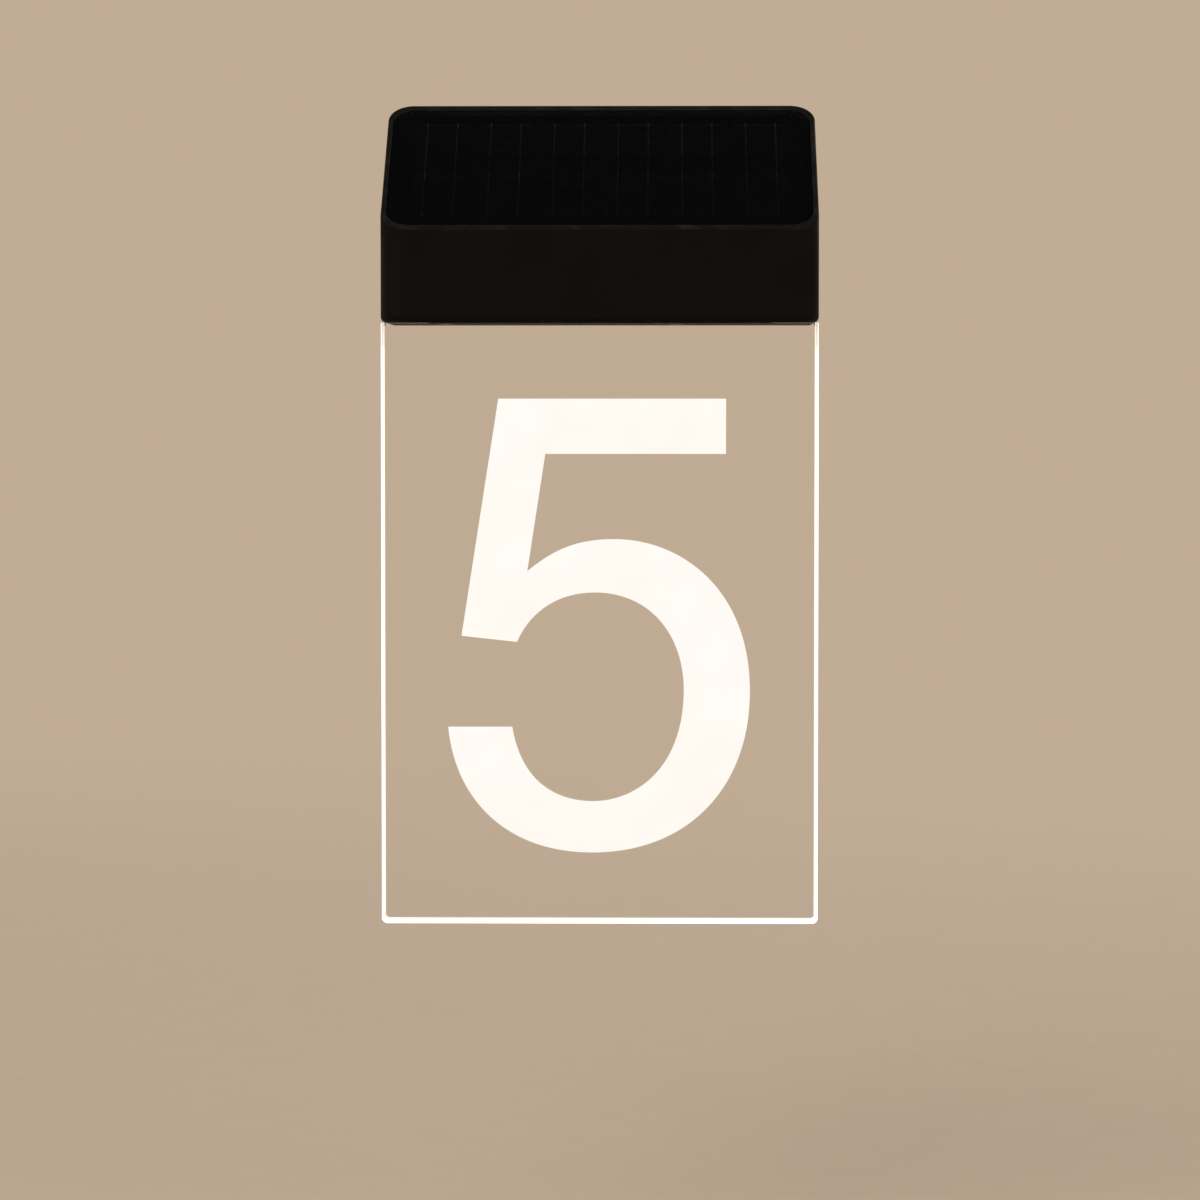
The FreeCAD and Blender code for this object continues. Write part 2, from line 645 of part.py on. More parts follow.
def acrylic_plate():
    """The clear plate: bevelled on its sides and foot, with a narrower tongue on top."""
    half, above = PLATE_WIDTH / 2, HEAD_BOTTOM + PLATE_HEIGHT
    blank = box(-half, half, PLATE_FRONT, PLATE_REAR, PLATE_BOTTOM, above)
    border = edges_where(blank, lambda e: e.BoundBox.YLength < 1e-6 and e.CenterOfMass.z < above - 1e-6)
    blank = blank.makeChamfer(PLATE_BEVEL, border)
    outline = box(-half, half, PLATE_FRONT, PLATE_REAR, PLATE_BOTTOM, HEAD_BOTTOM)
    corners = edges_where(
        outline, lambda e: runs_along(e, Vector(0, 1, 0)) and e.CenterOfMass.z < PLATE_BOTTOM + 1e-6
    )
    blank = blank.common(outline.makeFillet(PLATE_CORNER, corners))
    tongue = box(-TONGUE_HALF, TONGUE_HALF, PLATE_FRONT, PLATE_REAR, HEAD_BOTTOM, TONGUE_TOP)
    plate = joined([blank, tongue])
    for x in clamp_places():
        plate = plate.cut(cylinder_y(x, CLAMP_AXIS, TONGUE_HOLE_RADIUS, PLATE_FRONT, PLATE_REAR))
    return plate


def numeral_point(point):
    return Vector(point[0], PLATE_FRONT, PLATE_BOTTOM + point[1])


def bowl_curve(start, end, start_angle, start_length, end_angle, end_length):
    """A smooth curve between two outline points, with a handle on each, angles in degrees."""
    poles = [numeral_point(start)]
    for point, angle, length in ((start, start_angle, start_length), (end, end_angle, end_length)):
        turn = math.radians(angle)
        poles.append(numeral_point((point[0] + length * math.cos(turn), point[1] + length * math.sin(turn))))
    poles.append(numeral_point(end))
    curve = Part.BezierCurve()
    curve.setPoles(poles)
    return curve.toShape()


def numeral():
    """The plain figure five, cut from white film."""
    corners = [
        STEM_FOOT,
        (BAR_LEFT, BAR_TOP),
        (BAR_RIGHT, BAR_TOP),
        (BAR_RIGHT, BAR_UNDERSIDE),
        (STEM_INNER_TOP, BAR_UNDERSIDE),
        NOTCH,
    ]
    edges = [
        Part.LineSegment(numeral_point(a), numeral_point(b)).toShape() for a, b in zip(corners, corners[1:])
    ]
    left, right, up, down = 180, 0, 90, -90
    outer, inner = OUTER_HANDLES, INNER_HANDLES
    edges += [
        bowl_curve(NOTCH, OUTER_TOP, NOTCH_ANGLE, NOTCH_HANDLE, left, outer[0]),
        bowl_curve(OUTER_TOP, OUTER_RIGHT, right, outer[1], up, outer[2]),
        bowl_curve(OUTER_RIGHT, OUTER_BOTTOM, down, outer[3], right, outer[4]),
        bowl_curve(OUTER_BOTTOM, OUTER_END, left, outer[5], down + OUTER_END_ANGLE, outer[6]),
        Part.LineSegment(numeral_point(OUTER_END), numeral_point(INNER_END)).toShape(),
        bowl_curve(INNER_END, INNER_BOTTOM, down + INNER_END_ANGLE, inner[0], left, inner[1]),
        bowl_curve(INNER_BOTTOM, INNER_RIGHT, right, inner[2], down, inner[3]),
        bowl_curve(INNER_RIGHT, INNER_TOP, up, inner[4], right, inner[5]),
        bowl_curve(INNER_TOP, STEM_CORNER, left, inner[6], STEM_CORNER_ANGLE, STEM_CORNER_HANDLE),
        Part.LineSegment(numeral_point(STEM_CORNER), numeral_point(STEM_FOOT)).toShape(),
    ]
    face = Part.Face(Part.Wire(edges))
    return face.extrude(Vector(0, -NUMERAL_THICKNESS, 0))


def slot_seal():
    reach = SLOT_SEAL_WIDTH
    ring = box(
        -TONGUE_HALF - reach,
        TONGUE_HALF + reach,
        PLATE_FRONT - reach,
        PLATE_REAR + reach,
        HEAD_BOTTOM,
        FLOOR_TOP,
    )
    return ring.cut(box(-TONGUE_HALF, TONGUE_HALF, PLATE_FRONT, PLATE_REAR, HEAD_BOTTOM, FLOOR_TOP))


def light_channel():
    """The white channel over the tongue, open below and closed above the light strip."""
    channel = box(-CHANNEL_HALF, CHANNEL_HALF, CHANNEL_FRONT, CHANNEL_BACK, FLOOR_TOP, CHANNEL_TOP)
    space = box(
        -CHANNEL_HALF,
        CHANNEL_HALF,
        CHANNEL_FRONT + CHANNEL_WALL,
        CHANNEL_BACK - CHANNEL_WALL,
        FLOOR_TOP,
        LED_BOARD_TOP,
    )
    channel = channel.cut(space)
    radius = CLAMP_SCREW[0] + CLEARANCE_PLAY
    for x in clamp_places():
        channel = channel.cut(cylinder_y(x, CLAMP_AXIS, radius, CHANNEL_FRONT, CHANNEL_BACK))
    for x, y in led_screw_places():
        radius = TINY_SCREW[0] + SCREW_PLAY
        channel = channel.cut(cylinder_z(x, y, radius, LED_BOARD_TOP, CHANNEL_TOP))
    return channel.Solids[0]


def led_row():
    """The places of the lights along X, evenly spread over the tongue."""
    pitch = 2 * TONGUE_HALF / LED_COUNT
    return [(n - (LED_COUNT - 1) / 2) * pitch for n in range(LED_COUNT)]


def led_screw_places():
    """Two screws, each halfway between two lights."""
    row = led_row()
    middle = (PLATE_FRONT + PLATE_REAR) / 2
    return [((row[0] + row[1]) / 2, middle), ((row[-1] + row[-2]) / 2, middle)]


def led_board():
    board = box(
        -CHANNEL_HALF,
        CHANNEL_HALF + LED_BOARD_OVERHANG,
        CHANNEL_FRONT + CHANNEL_WALL + LED_BOARD_PLAY,
        CHANNEL_BACK - CHANNEL_WALL - LED_BOARD_PLAY,
        LED_BOARD_BOTTOM,
        LED_BOARD_TOP,
    )
    for x, y in led_screw_places():
        radius = TINY_SCREW[0] + SCREW_PLAY
        board = board.cut(cylinder_z(x, y, radius, LED_BOARD_BOTTOM, LED_BOARD_TOP))
    return board


def leds():
    middle, half = (PLATE_FRONT + PLATE_REAR) / 2, LED_SIZE / 2
    front, rear = middle - half, middle + half
    return Part.makeCompound(
        [box(x - half, x + half, front, rear, LED_BOTTOM, LED_BOARD_BOTTOM) for x in led_row()]
    )


def led_board_screws():
    length = LED_BOARD_THICKNESS + CHANNEL_WALL
    size = (TINY_SCREW[0], TINY_SCREW[1], LED_HEIGHT)
    return Part.makeCompound(
        [screw_z(x, y, LED_BOARD_BOTTOM, length, size, False) for x, y in led_screw_places()]
    )


def plate_clamp():
    rear = PLATE_REAR + CLAMP_THICKNESS
    bar = box(-TONGUE_HALF, TONGUE_HALF, PLATE_REAR, rear, CLAMP_LOW, CLAMP_LOW + CLAMP_HEIGHT)
    radius = CLAMP_SCREW[0] + CLEARANCE_PLAY
    for x in clamp_places():
        bar = bar.cut(cylinder_y(x, CLAMP_AXIS, radius, PLATE_REAR, rear))
    return bar


def clamp_screws():
    length = CHANNEL_BACK + HEAD_DEPTH - SHELL_WALL - CLAMP_SCREW_TIP
    return Part.makeCompound(
        [screw_y(x, CLAMP_AXIS, CHANNEL_BACK, length, CLAMP_SCREW) for x in clamp_places()]
    )


def battery_holder():
    """A tray over the cell, open below, with ears at its foot and standoffs on its roof."""
    wall = HOLDER_WALL
    holder = battery_box(-wall, FLOOR_TOP, HOLDER_TOP)
    low = FLOOR_TOP + EAR_POST
    high = low + EAR_HEIGHT
    parts = [holder]
    for x, y in ear_places():
        ear = cylinder_z(x, y, EAR_RADIUS, low, high)
        arm = box(x - EAR_RADIUS, x + EAR_RADIUS, BATTERY_Y, y, low, high)
        parts += [ear, arm]
    for x, y in standoff_places():
        parts.append(cylinder_z(x, y, STANDOFF_RADIUS, HOLDER_TOP - wall, BOARD_BOTTOM))
    holder = joined(parts).cut(battery_box(0, FLOOR_TOP, HOLDER_TOP - wall))
    for x, y in ear_places():
        radius = SMALL_SCREW[0] + CLEARANCE_PLAY
        holder = holder.cut(cylinder_z(x, y, radius, low, high))
    for x, y in standoff_places():
        radius = SMALL_SCREW[0] + SCREW_PLAY
        holder = holder.cut(cylinder_z(x, y, radius, BOARD_TOP - SMALL_SCREW_LENGTH, BOARD_BOTTOM))
    return holder.Solids[0]


def holder_screws():
    seat = FLOOR_TOP + EAR_POST + EAR_HEIGHT
    length = SMALL_SCREW_LENGTH + EAR_HEIGHT - CLEARANCE_PLAY
    return Part.makeCompound([screw_z(x, y, seat, length, SMALL_SCREW, True) for x, y in ear_places()])


def battery_cell():
    left = BATTERY_OFFSET - BAY_HALF_X + CONTACT_THICKNESS
    along = Vector(1, 0, 0)
    foot = Vector(left + NOSE_HEIGHT, BATTERY_Y, BATTERY_Z)
    body = Part.makeCylinder(CELL_RADIUS, CELL_LENGTH - NOSE_HEIGHT, foot, along)
    ends = [e for e in body.Edges if isinstance(e.Curve, Part.Circle)]
    body = body.makeFillet(BAY_PLAY, ends)
    nose = Part.makeCylinder(NOSE_RADIUS, 2 * NOSE_HEIGHT, Vector(left, BATTERY_Y, BATTERY_Z), along)
    return joined([body, nose])


def battery_contact():
    left = BATTERY_OFFSET - BAY_HALF_X
    half, y, z = CONTACT_SIZE / 2, BATTERY_Y, BATTERY_Z
    return box(left, left + CONTACT_THICKNESS, y - half, y + half, z - half, z + half)


def battery_spring():
    """A coil between the cell's flat end and the bay's right wall."""
    right = BATTERY_OFFSET + BAY_HALF_X
    room = SPRING_LENGTH - 2 * SPRING_WIRE
    path = Part.makeLongHelix(room / SPRING_TURNS, room, SPRING_RADIUS)
    middle, across = Vector(SPRING_RADIUS, 0, 0), Vector(0, 1, 0)
    halves = [Part.makeCircle(SPRING_WIRE, middle, across, start, start + 180) for start in (0, 180)]
    profile = Part.Wire(halves)
    coil = Part.Wire(path.Edges).makePipeShell([profile], True, True)
    coil.rotate(Vector(0, 0, 0), Vector(0, 1, 0), 90)
    return coil.translated(Vector(right - SPRING_LENGTH + SPRING_WIRE, BATTERY_Y, BATTERY_Z))


def control_board():
    half = BOARD_WIDTH / 2
    board = box(BOARD_LEFT, BOARD_RIGHT, BATTERY_Y - half, BATTERY_Y + half, BOARD_BOTTOM, BOARD_TOP)
    for x, y in standoff_places():
        radius = SMALL_SCREW[0] + CLEARANCE_PLAY
        board = board.cut(cylinder_z(x, y, radius, BOARD_BOTTOM, BOARD_TOP))
    return board


def board_parts():
    """Chip, coil, capacitors and sockets on the control board's upper side."""
    parts = []
    for across, length, width, height in BOARD_BLOCKS:
        x = BATTERY_OFFSET + across
        ends = (x - length / 2, x + length / 2, BATTERY_Y - width / 2, BATTERY_Y + width / 2)
        parts.append(box(*ends, BOARD_TOP, BOARD_TOP + height))
    for across, radius, height in BOARD_CANS:
        x = BATTERY_OFFSET + across
        parts.append(cylinder_z(x, BATTERY_Y, radius, BOARD_TOP, BOARD_TOP + height))
    return Part.makeCompound(parts)


def board_screws():
    length = SMALL_SCREW_LENGTH - CLEARANCE_PLAY
    return Part.makeCompound(
        [screw_z(x, y, BOARD_TOP, length, SMALL_SCREW, True) for x, y in standoff_places()]
    )


def battery_door():
    half_x, half_y = DOOR_HALF_X, DOOR_HALF_Y
    door = rounded_box(
        BATTERY_OFFSET - half_x,
        BATTERY_OFFSET + half_x,
        BATTERY_Y - half_y,
        BATTERY_Y + half_y,
        HEAD_BOTTOM,
        DOOR_TOP,
        DOOR_CORNER,
    )
    inset = DOOR_SEAL + DOOR_SEAL_GAP
    rim = battery_box(inset, DOOR_TOP, DOOR_TOP + DOOR_RIM_HEIGHT).cut(
        battery_box(inset + DOOR_RIM_WALL, DOOR_TOP, DOOR_TOP + DOOR_RIM_HEIGHT)
    )
    door = joined([door, rim])
    for n in range(GRIP_RIBS):
        x = BATTERY_OFFSET + (n - (GRIP_RIBS - 1) / 2) * GRIP_PITCH
        groove = box(
            x - GRIP_WIDTH / 2,
            x + GRIP_WIDTH / 2,
            BATTERY_Y - GRIP_LENGTH / 2,
            BATTERY_Y + GRIP_LENGTH / 2,
            HEAD_BOTTOM,
            HEAD_BOTTOM + GRIP_DEPTH,
        )
        door = door.cut(groove)
    shank, head, height = DOOR_SCREW
    for x in door_screw_places():
        door = door.cut(cylinder_z(x, BATTERY_Y, head + CLEARANCE_PLAY, HEAD_BOTTOM, HEAD_BOTTOM + height))
        door = door.cut(cylinder_z(x, BATTERY_Y, shank + SCREW_PLAY, HEAD_BOTTOM, DOOR_TOP))
    return door


def door_seal():
    low = DOOR_TOP
    ring = battery_box(DOOR_SEAL_GAP, low, low + DOOR_SEAL_HEIGHT)
    return ring.cut(battery_box(DOOR_SEAL_GAP + DOOR_SEAL, low, low + DOOR_SEAL_HEIGHT))


def door_screws():
    seat = HEAD_BOTTOM + DOOR_SCREW[2]
    length = DOOR_TOP - seat + SMALL_SCREW_LENGTH
    return Part.makeCompound(
        [screw_z(x, BATTERY_Y, seat, length, DOOR_SCREW, False) for x in door_screw_places()]
    )


def button_cap():
    x, y = BUTTON_X, BATTERY_Y
    cap = cylinder_z(x, y, BUTTON_RADIUS, HEAD_BOTTOM - BUTTON_PROUD, FLANGE_TOP)
    lower = edges_where(cap, lambda e: e.BoundBox.ZMax < HEAD_BOTTOM)
    cap = cap.makeFillet(BUTTON_EDGE, lower)
    flange = cylinder_z(x, y, BUTTON_RADIUS + BUTTON_FLANGE, FLANGE_BOTTOM, FLANGE_TOP)
    post = cylinder_z(x, y, BUTTON_POST_RADIUS, FLANGE_BOTTOM, FLANGE_TOP + BUTTON_POST_LENGTH)
    return joined([cap, flange, post])


def button_seal():
    low = FLANGE_BOTTOM - BUTTON_SEAL
    ring = cylinder_z(BUTTON_X, BATTERY_Y, BUTTON_RADIUS + BUTTON_FLANGE, low, FLANGE_BOTTOM)
    return ring.cut(cylinder_z(BUTTON_X, BATTERY_Y, BUTTON_RADIUS, low, FLANGE_BOTTOM))


def switch_plunger():
    low = FLANGE_TOP + BUTTON_POST_LENGTH
    return cylinder_z(BUTTON_X, BATTERY_Y, PLUNGER_RADIUS, low, low + PLUNGER_LENGTH)


def push_switch():
    half = SWITCH_SIZE / 2
    body = box(
        BUTTON_X - half, BUTTON_X + half, BATTERY_Y - half, BATTERY_Y + half, SWITCH_BOTTOM, SWITCH_TOP
    )
    top = FLANGE_TOP + BUTTON_POST_LENGTH + PLUNGER_LENGTH + BUTTON_TRAVEL + PLUNGER_GAP
    return body.cut(cylinder_z(BUTTON_X, BATTERY_Y, PLUNGER_RADIUS + PLUNGER_GAP, SWITCH_BOTTOM, top))


def switch_board():
    half_x, half_y = SWITCH_BOARD_LENGTH / 2, SWITCH_BOARD_WIDTH / 2
    board = box(
        BUTTON_X - half_x,
        BUTTON_X + half_x,
        BATTERY_Y - half_y,
        BATTERY_Y + half_y,
        SWITCH_TOP,
        SWITCH_TOP + SWITCH_BOARD_THICKNESS,
    )
    for x in switch_places():
        radius = TINY_SCREW[0] + CLEARANCE_PLAY
        board = board.cut(cylinder_z(x, BATTERY_Y, radius, SWITCH_TOP, SWITCH_TOP + SWITCH_BOARD_THICKNESS))
    return board


def switch_board_screws():
    seat = SWITCH_TOP + SWITCH_BOARD_THICKNESS
    length = SMALL_SCREW_LENGTH + SWITCH_BOARD_THICKNESS - CLEARANCE_PLAY
    return Part.makeCompound(
        [screw_z(x, BATTERY_Y, seat, length, TINY_SCREW, True) for x in switch_places()]
    )


def wall_bracket():
    """A flat plate with two wall slots, and two hooks that stand off and turn upwards."""
    half = BRACKET_WIDTH / 2
    plate = box(-half, half, -BRACKET_THICKNESS, 0, -BRACKET_LOWER, BRACKET_UPPER)
    plate = plate.makeFillet(BRACKET_CORNER, edges_where(plate, lambda e: runs_along(e, Vector(0, 1, 0))))
    parts = [plate]
    front = HOOK_BACK - BRACKET_THICKNESS
    for side in (-1, 1):
        x0, x1 = side * HOOK_X - HOOK_WIDTH / 2, side * HOOK_X + HOOK_WIDTH / 2
        low = BRACKET_UPPER - BRACKET_THICKNESS
        parts.append(box(x0, x1, front, 0, low, BRACKET_UPPER))
        tab = box(x0, x1, front, HOOK_BACK, low, BRACKET_UPPER + HOOK_HEIGHT)
        tops = edges_where(
            tab, lambda e: runs_along(e, Vector(0, 1, 0)) and e.CenterOfMass.z > BRACKET_UPPER
        )
        parts.append(tab.makeFillet(BRACKET_CORNER, tops))
    bracket = joined(parts)
    for side in (-1, 1):
        reach = SLOT_LENGTH / 2 - SLOT_RADIUS
        x = side * SLOT_SPACING / 2
        ends = [cylinder_y(x + way * reach, 0, SLOT_RADIUS, -BRACKET_THICKNESS, 0) for way in (-1, 1)]
        middle = box(x - reach, x + reach, -BRACKET_THICKNESS, 0, -SLOT_RADIUS, SLOT_RADIUS)
        bracket = bracket.cut(joined(ends + [middle]))
    return bracket


def lead(name, points):
    """A round lead along straight runs joined by tangent arcs."""
    points = [Vector(*p) for p in points]
    edges, here = [], points[0]
    for before, corner, after in zip(points, points[1:], points[2:]):
        come, leave = corner - before, after - corner
        half_turn = come.getAngle(leave) / 2
        reach = BEND_REACH * min(come.Length, leave.Length)
        radius = reach / math.tan(half_turn)
        come.normalize()
        leave.normalize()
        start, end = corner - come * reach, corner + leave * reach
        inward = leave - come
        inward.normalize()
        centre = corner + inward * (radius / math.cos(half_turn))
        to_corner = corner - centre
        to_corner.normalize()
        edges.append(Part.LineSegment(here, start).toShape())
        edges.append(Part.Arc(start, centre + to_corner * radius, end).toShape())
        print(name, "radius", round(radius, 2))
        here = end
    edges.append(Part.LineSegment(here, points[-1]).toShape())
    path = Part.Wire(edges)
    first = points[1] - points[0]
    profile = Part.Wire([Part.makeCircle(LEAD_DIAMETER / 2, points[0], first)])
    tube = path.makePipeShell([profile], True, False)
    section = math.pi * LEAD_DIAMETER**2 / 4
    print(name, "volume over section times length", round(tube.Volume / (section * path.Length), 4))
    return tube


def solar_lead():
    """From under the solar board, square to it, then down to the control board."""
    x = BATTERY_OFFSET + BOARD_WIDTH
    y_top = BATTERY_Y - BOARD_WIDTH / 3
    underside = WINDOW_SET + WINDOW_THICKNESS + CELL_THICKNESS + SOLAR_BOARD_THICKNESS
    start = Vector(x, y_top, slope_height(y_top, underside))
    reach = (start.z - BOARD_TOP) / 2
    bend = start + Vector(0, math.sin(SLOPE), -math.cos(SLOPE)) * reach
    return lead("solar_lead", [tuple(start), tuple(bend), (x, bend.y, BOARD_TOP)])


def battery_lead():
    """From the holder's right end, round and up to the control board's underside."""
    right = BATTERY_OFFSET + BAY_HALF_X + HOLDER_WALL
    x = right + BOARD_OVERHANG / 2
    z = BOARD_BOTTOM - BOARD_OVERHANG
    return lead("battery_lead", [(right, BATTERY_Y, z), (x, BATTERY_Y, z), (x, BATTERY_Y, BOARD_BOTTOM)])


def led_lead():
    """From the light strip's right end, up, back and down to the control board."""
    x = CHANNEL_HALF + LED_BOARD_OVERHANG / 2
    y = (CHANNEL_FRONT + CHANNEL_BACK) / 2
    end_x, end_y = BOARD_RIGHT - LEAD_CLIMB, BATTERY_Y - BOARD_WIDTH / 4
    high = BOARD_TOP + 2 * LEAD_CLIMB
    points = [
        (x, y, LED_BOARD_TOP),
        (x, y, BOARD_BOTTOM),
        ((x + end_x) / 2, (y + end_y) / 2, high),
        (end_x, end_y, high),
        (end_x, end_y, BOARD_TOP),
    ]
    return lead("led_lead", points)


def switch_lead():
    """From the switch board's top, up and across to the control board's underside."""
    x = BUTTON_X - SWITCH_BOARD_LENGTH / 4
    y = BATTERY_Y + SWITCH_BOARD_WIDTH / 2 - LEAD_DIAMETER
    end_x = BOARD_RIGHT - LEAD_CLIMB
    low = SWITCH_TOP + SWITCH_BOARD_THICKNESS
    third = (BOARD_BOTTOM - low) / 3
    points = [(x, y, low), (x, y, low + third), (end_x, y, BOARD_BOTTOM - third), (end_x, y, BOARD_BOTTOM)]
    return lead("switch_lead", points)


NODES = [
    front_shell,
    rear_cover,
    cover_seal,
    cover_screws,
    solar_window,
    window_seal,
    solar_cells,
    solar_board,
    acrylic_plate,
    numeral,
    slot_seal,
    light_channel,
    led_board,
    leds,
    led_board_screws,
    plate_clamp,
    clamp_screws,
    battery_holder,
    holder_screws,
    battery_cell,
    battery_contact,
    battery_spring,
    control_board,
    board_parts,
    board_screws,
    battery_door,
    door_seal,
    door_screws,
    button_cap,
    button_seal,
    switch_plunger,
    push_switch,
    switch_board,
    switch_board_screws,
    solar_lead,
    battery_lead,
    led_lead,
    switch_lead,
    wall_bracket,
]

os.makedirs("parts", exist_ok=True)
for make in NODES:
    shape = make()
    assert shape.isValid() and shape.Volume > 0, make.__name__
    shape.exportStep(f"parts/{make.__name__}.step")
    print(make.__name__, len(shape.Solids), "solids", round(shape.Volume, 1), "mm3")
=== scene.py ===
import bmesh
import bpy
import math

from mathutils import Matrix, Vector


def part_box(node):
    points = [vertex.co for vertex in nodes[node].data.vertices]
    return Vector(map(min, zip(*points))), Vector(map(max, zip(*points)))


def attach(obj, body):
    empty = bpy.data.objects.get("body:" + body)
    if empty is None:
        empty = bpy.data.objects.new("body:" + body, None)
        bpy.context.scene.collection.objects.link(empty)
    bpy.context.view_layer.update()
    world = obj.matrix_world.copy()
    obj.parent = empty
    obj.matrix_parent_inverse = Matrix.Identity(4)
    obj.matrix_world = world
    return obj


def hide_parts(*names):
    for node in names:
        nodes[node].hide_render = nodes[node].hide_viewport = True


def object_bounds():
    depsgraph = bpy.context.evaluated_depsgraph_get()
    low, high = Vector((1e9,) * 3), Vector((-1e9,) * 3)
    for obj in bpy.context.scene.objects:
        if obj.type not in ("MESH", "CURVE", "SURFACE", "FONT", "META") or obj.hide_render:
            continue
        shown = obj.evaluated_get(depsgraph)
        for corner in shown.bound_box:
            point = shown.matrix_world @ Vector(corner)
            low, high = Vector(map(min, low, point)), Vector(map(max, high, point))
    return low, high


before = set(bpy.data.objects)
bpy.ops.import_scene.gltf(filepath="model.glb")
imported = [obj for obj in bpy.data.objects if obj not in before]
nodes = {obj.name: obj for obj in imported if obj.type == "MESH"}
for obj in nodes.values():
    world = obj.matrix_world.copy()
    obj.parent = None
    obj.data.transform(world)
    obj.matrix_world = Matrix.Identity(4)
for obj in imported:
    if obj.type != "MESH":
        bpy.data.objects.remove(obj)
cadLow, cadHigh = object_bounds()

mm = 0.001

# Camera and stage

studio = {
    "cameraPlace": (0.0230, -1.5600, -0.0650),
    "cameraAim": (0.00025, -0.0600, -0.1326),
    "lens": 131.9,
    "lampAim": (0.0, -0.03, -0.12),
    "backdrop": (0.535, 0.412, 0.300),
    "overhead": (0.030, 0.030, 0.032),  # what is seen straight above
    "overheadStart": 0.86,  # height of a direction, where 1 points straight up
    "overheadFull": 0.95,
    "roomLight": (0.95, 0.97, 1.0),
    "roomStrength": 0.42,
    "floorDrop": 0.115,  # below the plate's lower edge
    "floorRadius": 7.0,
    "floorPaint": (0.653, 0.502, 0.366),
    "floorMottle": (0.618, 0.475, 0.346),
    "mottleScale": 60.0,
    "mottleShare": 0.3,
    "fadeStart": 0.45,  # distance from the middle where the floor starts to turn into the backdrop
    "fadeEnd": 2.4,
}

lamps = {  # place, size and power
    "keyLamp": ((-1.50, -2.00, 1.45), 2.6, 40.0),
    "fillLamp": ((2.00, -1.55, 0.55), 2.2, 17.0),
    "backLamp": ((0.75, 2.10, 1.30), 2.4, 19.0),
}


def node(tree, kind, inputs=None, **settings):
    made = tree.nodes.new(kind)
    for key, value in settings.items():
        setattr(made, key, value)
    for key, value in (inputs or {}).items():
        if isinstance(value, bpy.types.NodeSocket):
            tree.links.new(value, made.inputs[key])
        else:
            made.inputs[key].default_value = value
    return made


def sums(tree, operation, first, second=0.0):
    return node(tree, "ShaderNodeMath", {0: first, 1: second}, operation=operation).outputs[0]


def blendColour(tree, factor, first, second):
    made = node(tree, "ShaderNodeMix", data_type="RGBA")
    for index, value in ((0, factor), (6, first), (7, second)):
        if isinstance(value, bpy.types.NodeSocket):
            tree.links.new(value, made.inputs[index])
        else:
            made.inputs[index].default_value = value if index == 0 else (*value[:3], 1.0)
    return made.outputs[2]


def remap(tree, value, low, high, toLow=0.0, toHigh=1.0):
    inputs = {"Value": value, "From Min": low, "From Max": high, "To Min": toLow, "To Max": toHigh}
    return node(tree, "ShaderNodeMapRange", inputs, interpolation_type="SMOOTHSTEP").outputs["Result"]


def noise(tree, place, scale, detail):
    inputs = {"Vector": place, "Scale": scale, "Detail": detail}
    return node(tree, "ShaderNodeTexNoise", inputs).outputs[0]


def cells(tree, place, scale, randomness=1.0, **settings):
    inputs = {"Vector": place, "Scale": scale, "Randomness": randomness}
    return node(tree, "ShaderNodeTexVoronoi", inputs, **settings).outputs


def axes(tree, vector):
    return node(tree, "ShaderNodeSeparateXYZ", {0: vector}).outputs


def facing(tree):
    return node(tree, "ShaderNodeNewGeometry").outputs["Normal"]


def objectPlace(tree):
    return node(tree, "ShaderNodeTexCoord").outputs["Object"]


def aimAt(thing, target):
    thing.rotation_euler = (Vector(target) - thing.location).to_track_quat("-Z", "Y").to_euler()


def buildCamera():
    bpy.ops.object.camera_add(location=studio["cameraPlace"])
    camera = bpy.context.object
    camera.name = "photoCamera"
    camera.data.lens = studio["lens"]
    camera.data.sensor_width = 36.0
    camera.data.clip_start, camera.data.clip_end = 0.05, 40.0
    aimAt(camera, studio["cameraAim"])
    bpy.context.scene.camera = camera


def buildLamps():
    for name, (place, size, power) in lamps.items():
        bpy.ops.object.light_add(type="AREA", location=place)
        lamp = bpy.context.object
        lamp.name = name
        lamp.data.size = size
        lamp.data.energy = power
        lamp.visible_camera = lamp.visible_transmission = False
        aimAt(lamp, studio["lampAim"])


def viewedRay(tree):
    path = node(tree, "ShaderNodeLightPath").outputs
    seen = sums(tree, "MAXIMUM", path["Is Camera Ray"], path["Is Glossy Ray"])
    return sums(tree, "MAXIMUM", seen, path["Is Transmission Ray"])


def buildWorld():
    world = bpy.data.worlds.new("studioRoom")
    bpy.context.scene.world = world
    world.use_nodes = True
    tree = world.node_tree
    tree.nodes.clear()
    way = node(tree, "ShaderNodeTexCoord").outputs["Generated"]
    overhead = remap(tree, axes(tree, way)["Z"], studio["overheadStart"], studio["overheadFull"])
    shown = blendColour(tree, overhead, studio["backdrop"], studio["overhead"])
    seen = node(tree, "ShaderNodeBackground", {"Color": shown, "Strength": 1.0})
    room = (*studio["roomLight"], 1.0)
    light = node(tree, "ShaderNodeBackground", {"Color": room, "Strength": studio["roomStrength"]})
    mixed = node(tree, "ShaderNodeMixShader", {0: viewedRay(tree)})
    tree.links.new(light.outputs[0], mixed.inputs[1])
    tree.links.new(seen.outputs[0], mixed.inputs[2])
    end = node(tree, "ShaderNodeOutputWorld")
    tree.links.new(mixed.outputs[0], end.inputs["Surface"])


